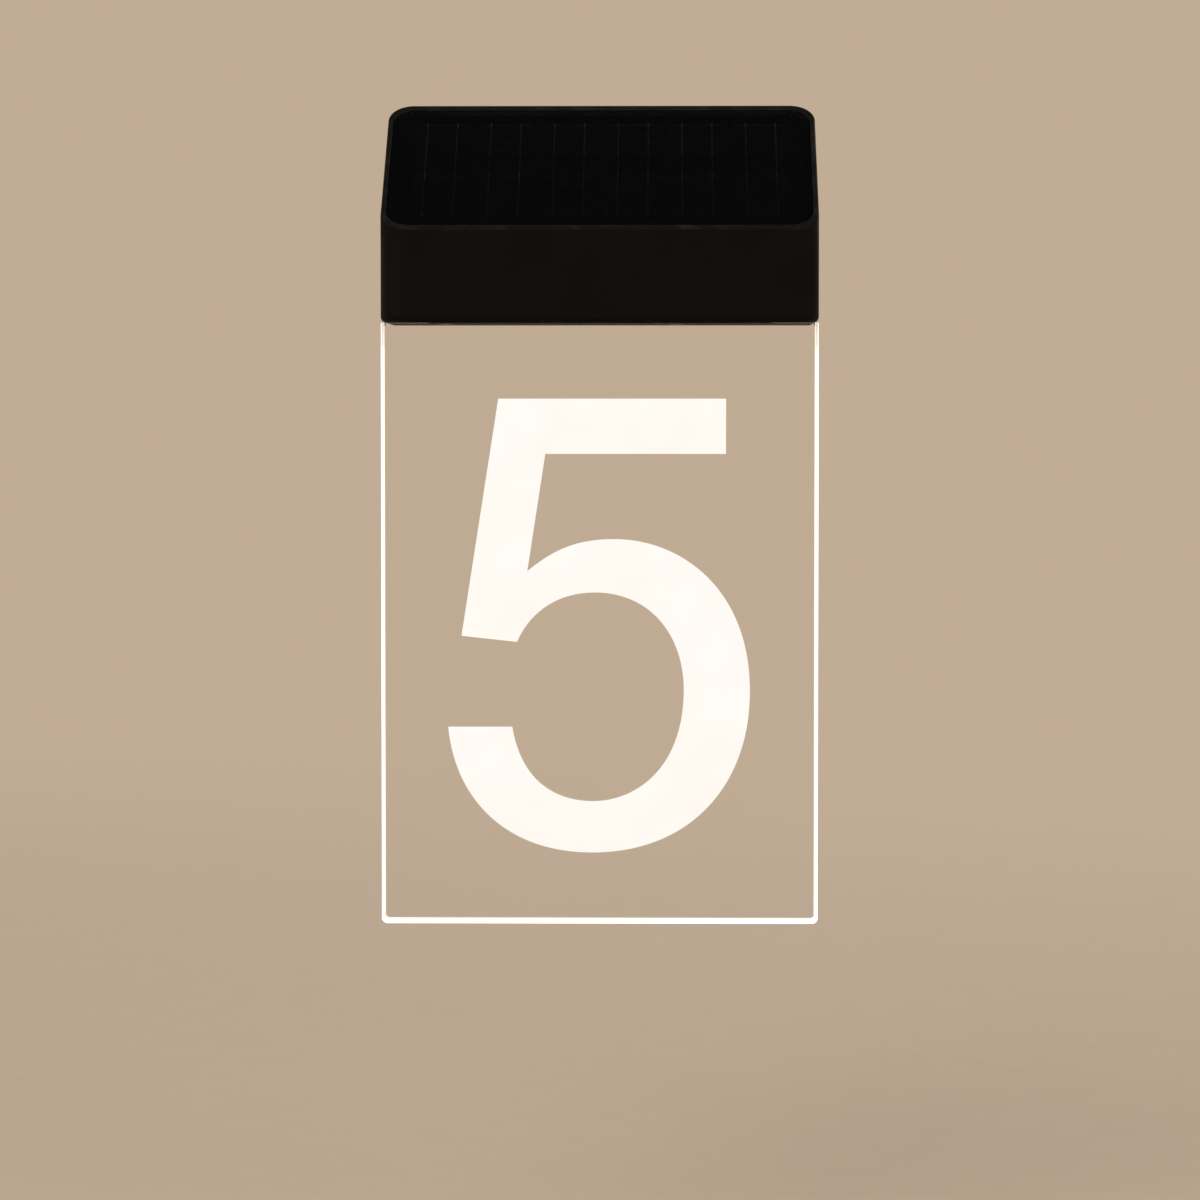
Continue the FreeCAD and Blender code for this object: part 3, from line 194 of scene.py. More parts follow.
def buildFloor():
    bpy.ops.object.select_all(action="DESELECT")
    drop = cadLow.z - studio["floorDrop"]
    bpy.ops.mesh.primitive_circle_add(
        vertices=96, radius=studio["floorRadius"], fill_type="NGON", location=(0, 0, drop)
    )
    floor = bpy.context.object
    floor.name = "studioFloor"
    bpy.ops.object.transform_apply(location=True)
    paint = bpy.data.materials.new("floorPaint")
    paint.use_nodes = True
    tree = paint.node_tree
    tree.nodes.clear()
    place = objectPlace(tree)
    parts = axes(tree, place)
    squares = [sums(tree, "MULTIPLY", parts[axis], parts[axis]) for axis in "XY"]
    reach = sums(tree, "SQRT", sums(tree, "ADD", *squares))
    fade = remap(tree, reach, studio["fadeStart"], studio["fadeEnd"])
    far = sums(tree, "MULTIPLY", fade, viewedRay(tree))
    mottle = noise(tree, place, studio["mottleScale"], 4.0)
    mottled = remap(tree, mottle, 0.3, 0.7, 0.0, studio["mottleShare"])
    colour = blendColour(tree, mottled, studio["floorPaint"], studio["floorMottle"])
    lit = node(tree, "ShaderNodeBsdfDiffuse", {"Color": colour})
    glow = node(tree, "ShaderNodeEmission", {"Color": (*studio["backdrop"], 1.0), "Strength": 1.0})
    clear = node(tree, "ShaderNodeBsdfTransparent")
    merged = node(tree, "ShaderNodeMixShader", {0: far, 1: lit.outputs[0], 2: glow.outputs[0]})
    under = node(tree, "ShaderNodeNewGeometry").outputs["Backfacing"]
    final = node(tree, "ShaderNodeMixShader", {0: under, 1: merged.outputs[0], 2: clear.outputs[0]})
    end = node(tree, "ShaderNodeOutputMaterial")
    tree.links.new(final.outputs[0], end.inputs["Surface"])
    floor.data.materials.append(paint)


buildCamera()
buildLamps()
buildWorld()
buildFloor()
bpy.context.scene.view_settings.view_transform = "Standard"
print("stage and camera ready")

# Shared effects


def openGroup(name, inputs, outputs):
    group = bpy.data.node_groups.new(name, "ShaderNodeTree")
    for label, kind, value in inputs:
        socket = group.interface.new_socket(label, in_out="INPUT", socket_type=kind)
        socket.default_value = value
    for label, kind in outputs:
        group.interface.new_socket(label, in_out="OUTPUT", socket_type=kind)
    given = node(group, "NodeGroupInput").outputs
    end = node(group, "NodeGroupOutput")
    return group, given, end


number, vectorKind = "NodeSocketFloat", "NodeSocketVector"


def buildMouldedGrain():
    # Spark-eroded mould texture, with slow changes of gloss over it
    group, given, end = openGroup(
        "mouldedGrain",
        [("Scale", number, 2400.0), ("Patches", number, 45.0)],
        [("Height", number), ("Gloss", number)],
    )
    place = objectPlace(group)
    pits = cells(group, place, given["Scale"], feature="SMOOTH_F1")["Distance"]
    fine = noise(group, place, given["Scale"], 3.0)
    height = sums(group, "ADD", sums(group, "MULTIPLY", pits, 0.6), sums(group, "MULTIPLY", fine, 0.4))
    patches = noise(group, place, given["Patches"], 5.0)
    group.links.new(height, end.inputs["Height"])
    group.links.new(remap(group, patches, 0.3, 0.7), end.inputs["Gloss"])
    return group


def buildSettledDust():
    # Pale dust on what faces up, thinner where it was wiped
    group, given, end = openGroup(
        "settledDust", [("Amount", number, 0.5), ("Scale", number, 160.0)], [("Mask", number)]
    )
    place = objectPlace(group)
    up = axes(group, facing(group))["Z"]
    broad = noise(group, place, given["Scale"], 6.0)
    speck = remap(group, cells(group, place, 900.0)["Distance"], 0.06, 0.16, 1.0, 0.0)
    film = remap(group, broad, 0.45, 0.75)
    both = sums(group, "MAXIMUM", film, sums(group, "MULTIPLY", speck, 0.6))
    lying = sums(group, "MULTIPLY", remap(group, up, 0.15, 0.95), both)
    group.links.new(sums(group, "MULTIPLY", lying, given["Amount"]), end.inputs["Mask"])
    return group


def buildEdgeWear():
    # Corners rubbed smoother and paler than the faces beside them
    group, given, end = openGroup(
        "edgeWear", [("Radius", number, 0.9 * mm), ("Breakup", number, 260.0)], [("Mask", number)]
    )
    soft = node(group, "ShaderNodeBevel", {"Radius": given["Radius"]}, samples=4).outputs[0]
    inputs = {0: soft, 1: facing(group)}
    same = node(group, "ShaderNodeVectorMath", inputs, operation="DOT_PRODUCT").outputs["Value"]
    bend = remap(group, same, 0.995, 0.86)
    broken = noise(group, objectPlace(group), given["Breakup"], 5.0)
    group.links.new(sums(group, "MULTIPLY", bend, remap(group, broken, 0.35, 0.65)), end.inputs["Mask"])
    return group


def buildMetalGrain():
    # Fine drawn lines and blotches in metal
    group, given, end = openGroup(
        "metalGrain",
        [("Scale", number, 900.0), ("Stretch", vectorKind, (1.0, 1.0, 1.0))],
        [("Height", number), ("Blotch", number)],
    )
    place = objectPlace(group)
    inputs = {0: place, 1: given["Stretch"]}
    drawn = node(group, "ShaderNodeVectorMath", inputs, operation="MULTIPLY").outputs[0]
    lines = noise(group, drawn, given["Scale"], 6.0)
    blotch = noise(group, place, 110.0, 5.0)
    group.links.new(lines, end.inputs["Height"])
    group.links.new(remap(group, blotch, 0.3, 0.7), end.inputs["Blotch"])
    return group


def buildBoardTraces():
    # Copper runs under the lacquer, and bare pads
    group, given, end = openGroup(
        "boardTraces", [("Pitch", number, 300.0)], [("Run", number), ("Pad", number)]
    )
    place, pitch = objectPlace(group), given["Pitch"]
    nearest = cells(group, place, pitch, 0.7, feature="F1", distance="CHEBYCHEV")["Distance"]
    second = cells(group, place, pitch, 0.7, feature="F2", distance="CHEBYCHEV")["Distance"]
    gap = sums(group, "SUBTRACT", second, nearest)
    pads = cells(group, place, pitch, 0.25)["Distance"]
    group.links.new(remap(group, gap, 0.08, 0.14, 1.0, 0.0), end.inputs["Run"])
    group.links.new(remap(group, pads, 0.14, 0.18, 1.0, 0.0), end.inputs["Pad"])
    return group


groups = {
    "mouldedGrain": buildMouldedGrain(),
    "settledDust": buildSettledDust(),
    "edgeWear": buildEdgeWear(),
    "metalGrain": buildMetalGrain(),
    "boardTraces": buildBoardTraces(),
}
print("shared effects ready")


def effect(tree, name, **values):
    made = node(tree, "ShaderNodeGroup", node_tree=groups[name])
    for label, value in values.items():
        made.inputs[label].default_value = value
    return made.outputs


def openMaterial(name, **settings):
    paint = bpy.data.materials.new(name)
    paint.use_nodes = True
    tree = paint.node_tree
    shader = tree.nodes["Principled BSDF"]
    for label, value in settings.items():
        socket = shader.inputs[label.replace("_", " ")]
        socket.default_value = (*value, 1.0) if isinstance(value, tuple) else value
    return paint, tree, shader


def feed(tree, shader, **links):
    for label, value in links.items():
        tree.links.new(value, shader.inputs[label.replace("_", " ")])


def relief(tree, shader, height, distance):
    bump = node(tree, "ShaderNodeBump", {"Height": height, "Distance": distance, "Strength": 1.0})
    tree.links.new(bump.outputs[0], shader.inputs["Normal"])


blackPlastic = {
    "colour": (0.0018, 0.0018, 0.0020),
    "inner": (0.014, 0.014, 0.015),  # unpainted inner mouldings
    "worn": (0.010, 0.010, 0.0105),
    "dust": (0.19, 0.17, 0.145),
    "roughLow": 0.54,
    "roughHigh": 0.68,
    "roughUnder": 0.97,  # coarser mould texture on faces that point down
    "wornGloss": 0.10,
    "dustRough": 0.3,
    "grainDepth": 0.05 * mm,
}


def makeBlackPlastic(name, tone="colour", dust=0.06, scale=2400.0):
    paint, tree, shader = openMaterial(name, Specular_IOR_Level=0.08)
    grain = effect(tree, "mouldedGrain", Scale=scale)
    wear = effect(tree, "edgeWear")
    film = effect(tree, "settledDust", Amount=dust)
    colour = blendColour(tree, wear["Mask"], blackPlastic[tone], blackPlastic["worn"])
    colour = blendColour(tree, film["Mask"], colour, blackPlastic["dust"])
    gloss = remap(tree, grain["Gloss"], 0, 1, blackPlastic["roughLow"], blackPlastic["roughHigh"])
    rough = sums(tree, "SUBTRACT", gloss, sums(tree, "MULTIPLY", wear["Mask"], blackPlastic["wornGloss"]))
    rough = sums(tree, "ADD", rough, sums(tree, "MULTIPLY", film["Mask"], blackPlastic["dustRough"]))
    down = remap(tree, axes(tree, facing(tree))["Z"], -0.95, -0.7, 1.0, 0.0)
    rough = sums(tree, "MAXIMUM", rough, sums(tree, "MULTIPLY", down, blackPlastic["roughUnder"]))
    feed(tree, shader, Base_Color=colour, Roughness=rough)
    relief(tree, shader, grain["Height"], blackPlastic["grainDepth"])
    return paint


rubber = {
    "colour": (0.010, 0.010, 0.0105),
    "bloom": (0.035, 0.035, 0.037),
    "roughLow": 0.62,
    "roughHigh": 0.82,
}


def makeRubber(name):
    paint, tree, shader = openMaterial(name, Specular_IOR_Level=0.3)
    grain = effect(tree, "mouldedGrain", Scale=3200.0, Patches=160.0)
    bloom = sums(tree, "MULTIPLY", grain["Gloss"], 0.5)
    colour = blendColour(tree, bloom, rubber["colour"], rubber["bloom"])
    rough = remap(tree, grain["Gloss"], 0, 1, rubber["roughLow"], rubber["roughHigh"])
    feed(tree, shader, Base_Color=colour, Roughness=rough)
    relief(tree, shader, grain["Height"], 0.02 * mm)
    return paint


windowGlass = {
    "tint": (0.125, 0.130, 0.142),
    "dust": (0.24, 0.235, 0.225),
    "dustRough": 0.4,
    "roughLow": 0.02,
    "roughHigh": 0.06,
}


def makeWindowGlass(name):
    paint, tree, shader = openMaterial(name, Transmission_Weight=1.0, IOR=1.49, Specular_IOR_Level=0.45)
    grain = effect(tree, "mouldedGrain", Scale=700.0, Patches=70.0)
    film = effect(tree, "settledDust", Amount=0.05, Scale=120.0)
    colour = blendColour(tree, film["Mask"], windowGlass["tint"], windowGlass["dust"])
    rough = remap(tree, grain["Gloss"], 0, 1, windowGlass["roughLow"], windowGlass["roughHigh"])
    rough = sums(tree, "ADD", rough, sums(tree, "MULTIPLY", film["Mask"], windowGlass["dustRough"]))
    feed(tree, shader, Base_Color=colour, Roughness=rough)
    relief(tree, shader, grain["Gloss"], 0.006 * mm)
    return paint


plateLow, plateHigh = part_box("acrylic_plate")
shellLow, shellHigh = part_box("front_shell")
clearAcrylic = {
    "tint": (0.985, 0.992, 0.990),
    "patchTint": (0.975, 0.985, 0.985),
    "glow": (1.0, 0.965, 0.905),
    "glowStrength": 0.96,
    "sideBand": 1.34 * mm,  # lit border beside the plate's sides
    "footBand": 1.72 * mm,  # lit border above its lower edge
    "bend": 2.5 * mm,  # rounding of the lit border's outline
    "soft": 0.18 * mm,
    "bandRough": 0.25,
    "splitLength": 8.5 * mm,  # how far below the head the border is split
    "splitPlace": 0.66 * mm,
    "splitWidth": 0.50 * mm,
    "splitGlow": 0.40,
    "lineGlow": 0.78,
}


def makeClearAcrylic(name):
    paint, tree, shader = openMaterial(
        name, Transmission_Weight=1.0, IOR=1.49, Emission_Strength=clearAcrylic["glowStrength"]
    )
    place = objectPlace(tree)
    parts = axes(tree, place)
    side, foot, bend, soft = (clearAcrylic[key] for key in ("sideBand", "footBand", "bend", "soft"))
    across = sums(tree, "SUBTRACT", sums(tree, "ABSOLUTE", parts["X"]), plateHigh.x - bend)
    down = sums(tree, "SUBTRACT", plateLow.z + foot - side + bend, parts["Z"])
    inputs = {"X": sums(tree, "MAXIMUM", across, 0.0), "Y": sums(tree, "MAXIMUM", down, 0.0)}
    outward = node(tree, "ShaderNodeCombineXYZ", inputs).outputs[0]
    reach = node(tree, "ShaderNodeVectorMath", {0: outward}, operation="LENGTH").outputs["Value"]
    band = remap(tree, reach, bend - side - soft, bend - side + soft)
    ripple = remap(tree, noise(tree, place, 90.0, 3.0), 0.25, 0.75, 0.94, 1.0)
    strength = sums(tree, "MULTIPLY", band, ripple)
    # Next to the head the border is dimmer, and splits into two lines
    fromLine = sums(tree, "ABSOLUTE", sums(tree, "SUBTRACT", bend - clearAcrylic["splitPlace"], reach))
    split = clearAcrylic["splitWidth"]
    lines = remap(tree, fromLine, 0.3 * split, split, clearAcrylic["splitGlow"], clearAcrylic["lineGlow"])
    below = shellLow.z - clearAcrylic["splitLength"]
    headEnd = remap(tree, parts["Z"], below - mm, below + mm)
    dimmed = node(tree, "ShaderNodeMix", {0: headEnd, 2: 1.0, 3: lines}).outputs[0]
    strength = sums(tree, "MULTIPLY", strength, dimmed)
    glow = blendColour(tree, strength, (0.0, 0.0, 0.0), clearAcrylic["glow"])
    grain = effect(tree, "mouldedGrain", Scale=500.0, Patches=55.0)
    rough = remap(tree, grain["Gloss"], 0, 1, 0.0, 0.03)
    rough = sums(tree, "ADD", rough, sums(tree, "MULTIPLY", band, clearAcrylic["bandRough"]))
    colour = blendColour(tree, grain["Gloss"], clearAcrylic["tint"], clearAcrylic["patchTint"])
    feed(tree, shader, Base_Color=colour, Roughness=rough, Emission_Color=glow)
    return paint


litNumeral = {
    "film": (0.30, 0.29, 0.27),
    "filmPatch": (0.34, 0.33, 0.31),
    "glow": (0.985, 0.945, 0.890),
    "glowCore": (0.995, 0.975, 0.945),
    "strength": 0.75,
    "roughLow": 0.50,
    "roughHigh": 0.62,
}


def makeLitNumeral(name):
    paint, tree, shader = openMaterial(
        name, Emission_Strength=litNumeral["strength"], Specular_IOR_Level=0.2
    )
    cloud = remap(tree, noise(tree, objectPlace(tree), 28.0, 4.0), 0.25, 0.75)
    grain = effect(tree, "mouldedGrain", Scale=3600.0, Patches=90.0)
    glow = blendColour(tree, cloud, litNumeral["glow"], litNumeral["glowCore"])
    colour = blendColour(tree, grain["Gloss"], litNumeral["film"], litNumeral["filmPatch"])
    rough = remap(tree, grain["Gloss"], 0, 1, litNumeral["roughLow"], litNumeral["roughHigh"])
    feed(tree, shader, Base_Color=colour, Roughness=rough, Emission_Color=glow)
    relief(tree, shader, grain["Height"], 0.01 * mm)
    return paint


solarCell = {
    "silicon": (0.010, 0.014, 0.034),
    "siliconLight": (0.018, 0.026, 0.058),
    "silver": (0.30, 0.31, 0.33),
    "frontHeight": 31.6 * mm,  # the head's front face, where the slope starts
    "slopeDepth": 59.0 * mm,
    "strips": 6,
    "stripGap": 0.8 * mm,
    "fingerPitch": 1.55 * mm,
    "fingerWidth": 0.10,
    "barPlaces": (0.25, 0.72),  # shares of a strip's width
    "barWidth": 0.55 * mm,
}


def makeSolarCell(name):
    paint, tree, shader = openMaterial(name, Specular_IOR_Level=0.5)
    low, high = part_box("solar_cells")
    slope = math.atan2(shellHigh.z - (shellLow.z + solarCell["frontHeight"]), solarCell["slopeDepth"])
    place = objectPlace(tree)
    turned = node(tree, "ShaderNodeMapping", {"Vector": place, "Rotation": (-slope, 0, 0)}).outputs[0]
    parts = axes(tree, turned)
    fingers = sums(tree, "FRACT", sums(tree, "DIVIDE", parts["Y"], solarCell["fingerPitch"]))
    finger = sums(tree, "LESS_THAN", fingers, solarCell["fingerWidth"])
    width = (high.x - low.x + solarCell["stripGap"]) / solarCell["strips"]
    inStrip = sums(tree, "FRACT", sums(tree, "DIVIDE", sums(tree, "SUBTRACT", parts["X"], low.x), width))
    bars = []
    for share in solarCell["barPlaces"]:
        off = sums(tree, "ABSOLUTE", sums(tree, "SUBTRACT", inStrip, share))
        bars.append(sums(tree, "LESS_THAN", off, solarCell["barWidth"] / width / 2))
    metal = sums(tree, "MAXIMUM", sums(tree, "MAXIMUM", *bars), sums(tree, "MULTIPLY", finger, 0.55))
    patches = remap(tree, noise(tree, place, 420.0, 5.0), 0.35, 0.65)
    colour = blendColour(tree, patches, solarCell["silicon"], solarCell["siliconLight"])
    colour = blendColour(tree, metal, colour, solarCell["silver"])
    feed(tree, shader, Base_Color=colour, Roughness=remap(tree, metal, 0, 1, 0.26, 0.42))
    relief(tree, shader, metal, 0.03 * mm)
    return paint


def makePlain(name, first, second, roughLow, roughHigh, scale=1600.0, **extra):
    # Moulded or painted surfaces in two near tones
    paint, tree, shader = openMaterial(name, **extra)
    grain = effect(tree, "mouldedGrain", Scale=scale, Patches=80.0)
    colour = blendColour(tree, grain["Gloss"], first, second)
    feed(tree, shader, Base_Color=colour, Roughness=remap(tree, grain["Gloss"], 0, 1, roughLow, roughHigh))
    relief(tree, shader, grain["Height"], 0.02 * mm)
    return paint


def makeMetal(name, first, second, roughLow, roughHigh, stretch=(1, 1, 1)):
    paint, tree, shader = openMaterial(name, Metallic=1.0)
    grain = effect(tree, "metalGrain", Scale=900.0, Stretch=stretch)
    wear = effect(tree, "edgeWear", Radius=0.3 * mm)
    colour = blendColour(tree, grain["Blotch"], first, second)
    dull = sums(tree, "MULTIPLY", grain["Height"], grain["Blotch"])
    rough = remap(tree, dull, 0, 0.6, roughLow, roughHigh)
    rough = sums(tree, "SUBTRACT", rough, sums(tree, "MULTIPLY", wear["Mask"], 0.08))
    feed(tree, shader, Base_Color=colour, Roughness=rough)
    relief(tree, shader, grain["Height"], 0.01 * mm)
    return paint


zinc = {
    "dark": (0.50, 0.515, 0.53),
    "light": (0.60, 0.615, 0.63),
    "bright": (0.74, 0.75, 0.75),
    "spangleScale": 260.0,
    "spangleBend": 4.0 * mm,
    "roughLow": 0.38,
    "roughHigh": 0.48,
}


def makeZinc(name):
    # Galvanised sheet with its crystal spangle
    paint, tree, shader = openMaterial(name, Metallic=1.0)
    place = objectPlace(tree)
    inputs = {"Vector": place, "Scale": 90.0, "Detail": 2.0}
    swirl = node(tree, "ShaderNodeTexNoise", inputs).outputs["Color"]
    inputs = {0: swirl, 1: [zinc["spangleBend"]] * 3}
    shift = node(tree, "ShaderNodeVectorMath", inputs, operation="MULTIPLY").outputs[0]
    moved = node(tree, "ShaderNodeVectorMath", {0: place, 1: shift}, operation="ADD").outputs[0]
    tone = axes(tree, cells(tree, moved, zinc["spangleScale"])["Color"])["X"]
    grain = effect(tree, "metalGrain", Scale=1400.0)
    colour = blendColour(tree, tone, zinc["dark"], zinc["light"])
    colour = blendColour(tree, remap(tree, grain["Blotch"], 0.7, 1.0, 0.0, 0.35), colour, zinc["bright"])
    rough = remap(tree, tone, 0, 1, zinc["roughLow"], zinc["roughHigh"])
    rough = sums(tree, "ADD", rough, sums(tree, "MULTIPLY", grain["Blotch"], 0.08))
    feed(tree, shader, Base_Color=colour, Roughness=rough)
    relief(tree, shader, sums(tree, "ADD", tone, grain["Height"]), 0.01 * mm)
    return paint


def makeBoard(name, lacquer, run, pad, pitch=320.0):
    paint, tree, shader = openMaterial(name)
    traces = effect(tree, "boardTraces", Pitch=pitch)
    grain = effect(tree, "mouldedGrain", Scale=1500.0)
    colour = blendColour(tree, sums(tree, "MULTIPLY", traces["Run"], 0.7), lacquer, run)
    colour = blendColour(tree, traces["Pad"], colour, pad)
    rough = remap(tree, grain["Gloss"], 0, 1, 0.28, 0.40)
    feed(tree, shader, Base_Color=colour, Roughness=rough, Metallic=traces["Pad"])
    relief(tree, shader, sums(tree, "ADD", traces["Run"], traces["Pad"]), 0.03 * mm)
    return paint


batteryWrap = {
    "sleeve": (0.020, 0.125, 0.19),
    "sleevePatch": (0.026, 0.150, 0.22),
    "band": (0.70, 0.71, 0.70),
    "steel": (0.60, 0.60, 0.60),
    "bareLow": 1.25 * mm,  # bare steel at the cell's two ends
    "bareHigh": 0.25 * mm,
    "bands": ((9.0 * mm, 1.2 * mm), (12.5 * mm, 0.5 * mm)),  # place and half the width
}


def makeCellWrap(name):
    # Shrink sleeve with two plain bands, open to bare steel at both ends
    paint, tree, shader = openMaterial(name)
    low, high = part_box("battery_cell")
    along = axes(tree, objectPlace(tree))["X"]
    lowEnd = sums(tree, "LESS_THAN", along, low.x + batteryWrap["bareLow"])
    highEnd = sums(tree, "GREATER_THAN", along, high.x - batteryWrap["bareHigh"])
    bare = sums(tree, "MAXIMUM", lowEnd, highEnd)
    bands = []
    for place, width in batteryWrap["bands"]:
        off = sums(tree, "ABSOLUTE", sums(tree, "SUBTRACT", along, low.x + place))
        bands.append(sums(tree, "LESS_THAN", off, width))
    grain = effect(tree, "mouldedGrain", Scale=900.0, Patches=60.0)
    colour = blendColour(tree, grain["Gloss"], batteryWrap["sleeve"], batteryWrap["sleevePatch"])
    colour = blendColour(tree, sums(tree, "MAXIMUM", *bands), colour, batteryWrap["band"])
    colour = blendColour(tree, bare, colour, batteryWrap["steel"])
    rough = remap(tree, grain["Gloss"], 0, 1, 0.24, 0.34)
    feed(tree, shader, Base_Color=colour, Metallic=bare, Roughness=rough)
    relief(tree, shader, grain["Gloss"], 0.03 * mm)
    return paint


lightStrip = {
    "phosphor": (0.80, 0.72, 0.42),
    "phosphorPatch": (0.86, 0.80, 0.52),
    "glow": (1.0, 0.95, 0.86),
    "glowLow": 0.05 * mm,  # the glow fades between these heights over the lights' lower face
    "glowHigh": 0.35 * mm,
}


def makeLightStrip(name):
    paint, tree, shader = openMaterial(name, Emission_Strength=1.0)
    grain = effect(tree, "mouldedGrain", Scale=1800.0)
    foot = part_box("leds")[0].z
    height = axes(tree, objectPlace(tree))["Z"]
    face = remap(tree, height, foot + lightStrip["glowLow"], foot + lightStrip["glowHigh"], 1.0, 0.0)
    glow = blendColour(tree, face, (0.0, 0.0, 0.0), lightStrip["glow"])
    colour = blendColour(tree, grain["Gloss"], lightStrip["phosphor"], lightStrip["phosphorPatch"])
    rough = remap(tree, grain["Gloss"], 0, 1, 0.3, 0.45)
    feed(tree, shader, Base_Color=colour, Emission_Color=glow, Roughness=rough)
    return paint


materials = {
    "shellPlastic": makeBlackPlastic("shellPlastic"),
    "innerPlastic": makeBlackPlastic("innerPlastic", "inner", 0.03, 1500.0),
    "rubberSeal": makeRubber("rubberSeal"),
    "windowGlass": makeWindowGlass("windowGlass"),
    "clearAcrylic": makeClearAcrylic("clearAcrylic"),
    "litNumeral": makeLitNumeral("litNumeral"),
    "solarCell": makeSolarCell("solarCell"),
    "whitePlastic": makePlain(
        "whitePlastic", (0.74, 0.74, 0.72), (0.80, 0.80, 0.78), 0.34, 0.46, Specular_IOR_Level=0.4
    ),
    "chipBlack": makePlain("chipBlack", (0.012, 0.012, 0.013), (0.020, 0.020, 0.021), 0.45, 0.6, 2600.0),
    "whiteBoard": makeBoard("whiteBoard", (0.76, 0.76, 0.74), (0.66, 0.66, 0.64), (0.70, 0.60, 0.34), 420.0),
    "greenBoard": makeBoard("greenBoard", (0.012, 0.105, 0.040), (0.030, 0.190, 0.070), (0.72, 0.62, 0.34)),
    "blackBoard": makeBoard("blackBoard", (0.012, 0.013, 0.015), (0.030, 0.032, 0.036), (0.70, 0.62, 0.40)),
    "cellWrap": makeCellWrap("cellWrap"),
    "screwSteel": makeMetal("screwSteel", (0.52, 0.52, 0.51), (0.62, 0.62, 0.61), 0.22, 0.36),
    "nickel": makeMetal("nickel", (0.66, 0.64, 0.60), (0.74, 0.72, 0.68), 0.14, 0.26),
    "aluminium": makeMetal("aluminium", (0.70, 0.71, 0.72), (0.80, 0.81, 0.82), 0.26, 0.40, (0.04, 1, 1)),
    "zincSheet": makeZinc("zincSheet"),
    "leadRed": makePlain("leadRed", (0.42, 0.020, 0.016), (0.48, 0.030, 0.024), 0.34, 0.46, 900.0),
    "leadBlack": makePlain("leadBlack", (0.014, 0.014, 0.015), (0.022, 0.022, 0.023), 0.36, 0.48, 900.0),
    "lightStrip": makeLightStrip("lightStrip"),
}
print("materials ready", len(materials))

finishes = {
    "shellPlastic": ["front_shell", "rear_cover", "battery_door"],
    "innerPlastic": ["battery_holder"],
    "rubberSeal": ["cover_seal", "window_seal", "slot_seal", "door_seal", "button_cap", "button_seal"],
    "windowGlass": ["solar_window"],
    "clearAcrylic": ["acrylic_plate"],
    "litNumeral": ["numeral"],
    "solarCell": ["solar_cells"],
    "whitePlastic": ["light_channel", "switch_plunger"],
    "chipBlack": ["board_parts", "push_switch"],
    "whiteBoard": ["led_board"],
    "greenBoard": ["control_board", "switch_board"],
    "blackBoard": ["solar_board"],
    "cellWrap": ["battery_cell"],
    "screwSteel": [
        "cover_screws", "clamp_screws", "holder_screws", "board_screws", "door_screws",
        "led_board_screws", "switch_board_screws",
    ],
    "nickel": ["battery_contact", "battery_spring"],
    "aluminium": ["plate_clamp"],
    "zincSheet": ["wall_bracket"],
    "leadRed": ["battery_lead", "led_lead"],
    "leadBlack": ["solar_lead", "switch_lead"],
    "lightStrip": ["leds"],
}
for finish, names in finishes.items():
    for name in names:
        nodes[name].material_slots[0].material = materials[finish]
plain = sorted(set(nodes) - {name for names in finishes.values() for name in names})
print("finishes given, left over:", plain)

# Modelling helpers

softEdges = {"segments": 2, "sharperThan": 30.0, "weld": 0.002 * mm, "smoothBelow": 40.0}


def wake(piece):
    bpy.ops.object.select_all(action="DESELECT")
    piece.select_set(True)
    bpy.context.view_layer.objects.active = piece


def pick(piece, kind, test):
    # Edit mode with only the parts that pass the test selected
    wake(piece)
    bpy.ops.object.mode_set(mode="EDIT")
    bpy.ops.mesh.select_mode(type=kind)
    bpy.ops.mesh.select_all(action="DESELECT")
    mesh = bmesh.from_edit_mesh(piece.data)
    for part in {"EDGE": mesh.edges, "FACE": mesh.faces}[kind]:
        if test(part):
            part.select_set(True)
    mesh.select_flush_mode()
    bmesh.update_edit_mesh(piece.data)


def leaveEdit():
    bpy.ops.object.mode_set(mode="OBJECT")


def push(x, y, z):
    bpy.ops.mesh.extrude_region_move(TRANSFORM_OT_translate={"value": (x, y, z)})


def roundEdges(piece, test, offset, segments):
    pick(piece, "EDGE", test)
    bpy.ops.mesh.bevel(offset=offset, segments=segments, affect="EDGES")
    leaveEdit()


def divide(piece, normal, places):
    # New edges where planes along the normal cross the piece
    wake(piece)
    bpy.ops.object.mode_set(mode="EDIT")
    for place in places:
        bpy.ops.mesh.select_all(action="SELECT")
        bpy.ops.mesh.bisect(plane_co=[place * share for share in normal], plane_no=normal)
    leaveEdit()


def block(name, low, high):
    # A cube at its size and place, the start of a piece
    bpy.ops.object.select_all(action="DESELECT")
    bpy.ops.mesh.primitive_cube_add(size=1.0, location=[(a + b) / 2 for a, b in zip(low, high)])
    piece = bpy.context.object
    piece.name = piece.data.name = name
    piece.scale = [b - a for a, b in zip(low, high)]
    bpy.ops.object.transform_apply(location=True, rotation=True, scale=True)
    return piece


def cut(piece, cutter):
    wake(piece)
    made = piece.modifiers.new("cut", "BOOLEAN")
    made.operation, made.solver, made.object = "DIFFERENCE", "EXACT", cutter
    bpy.ops.object.modifier_apply(modifier=made.name)
    bpy.data.objects.remove(cutter)


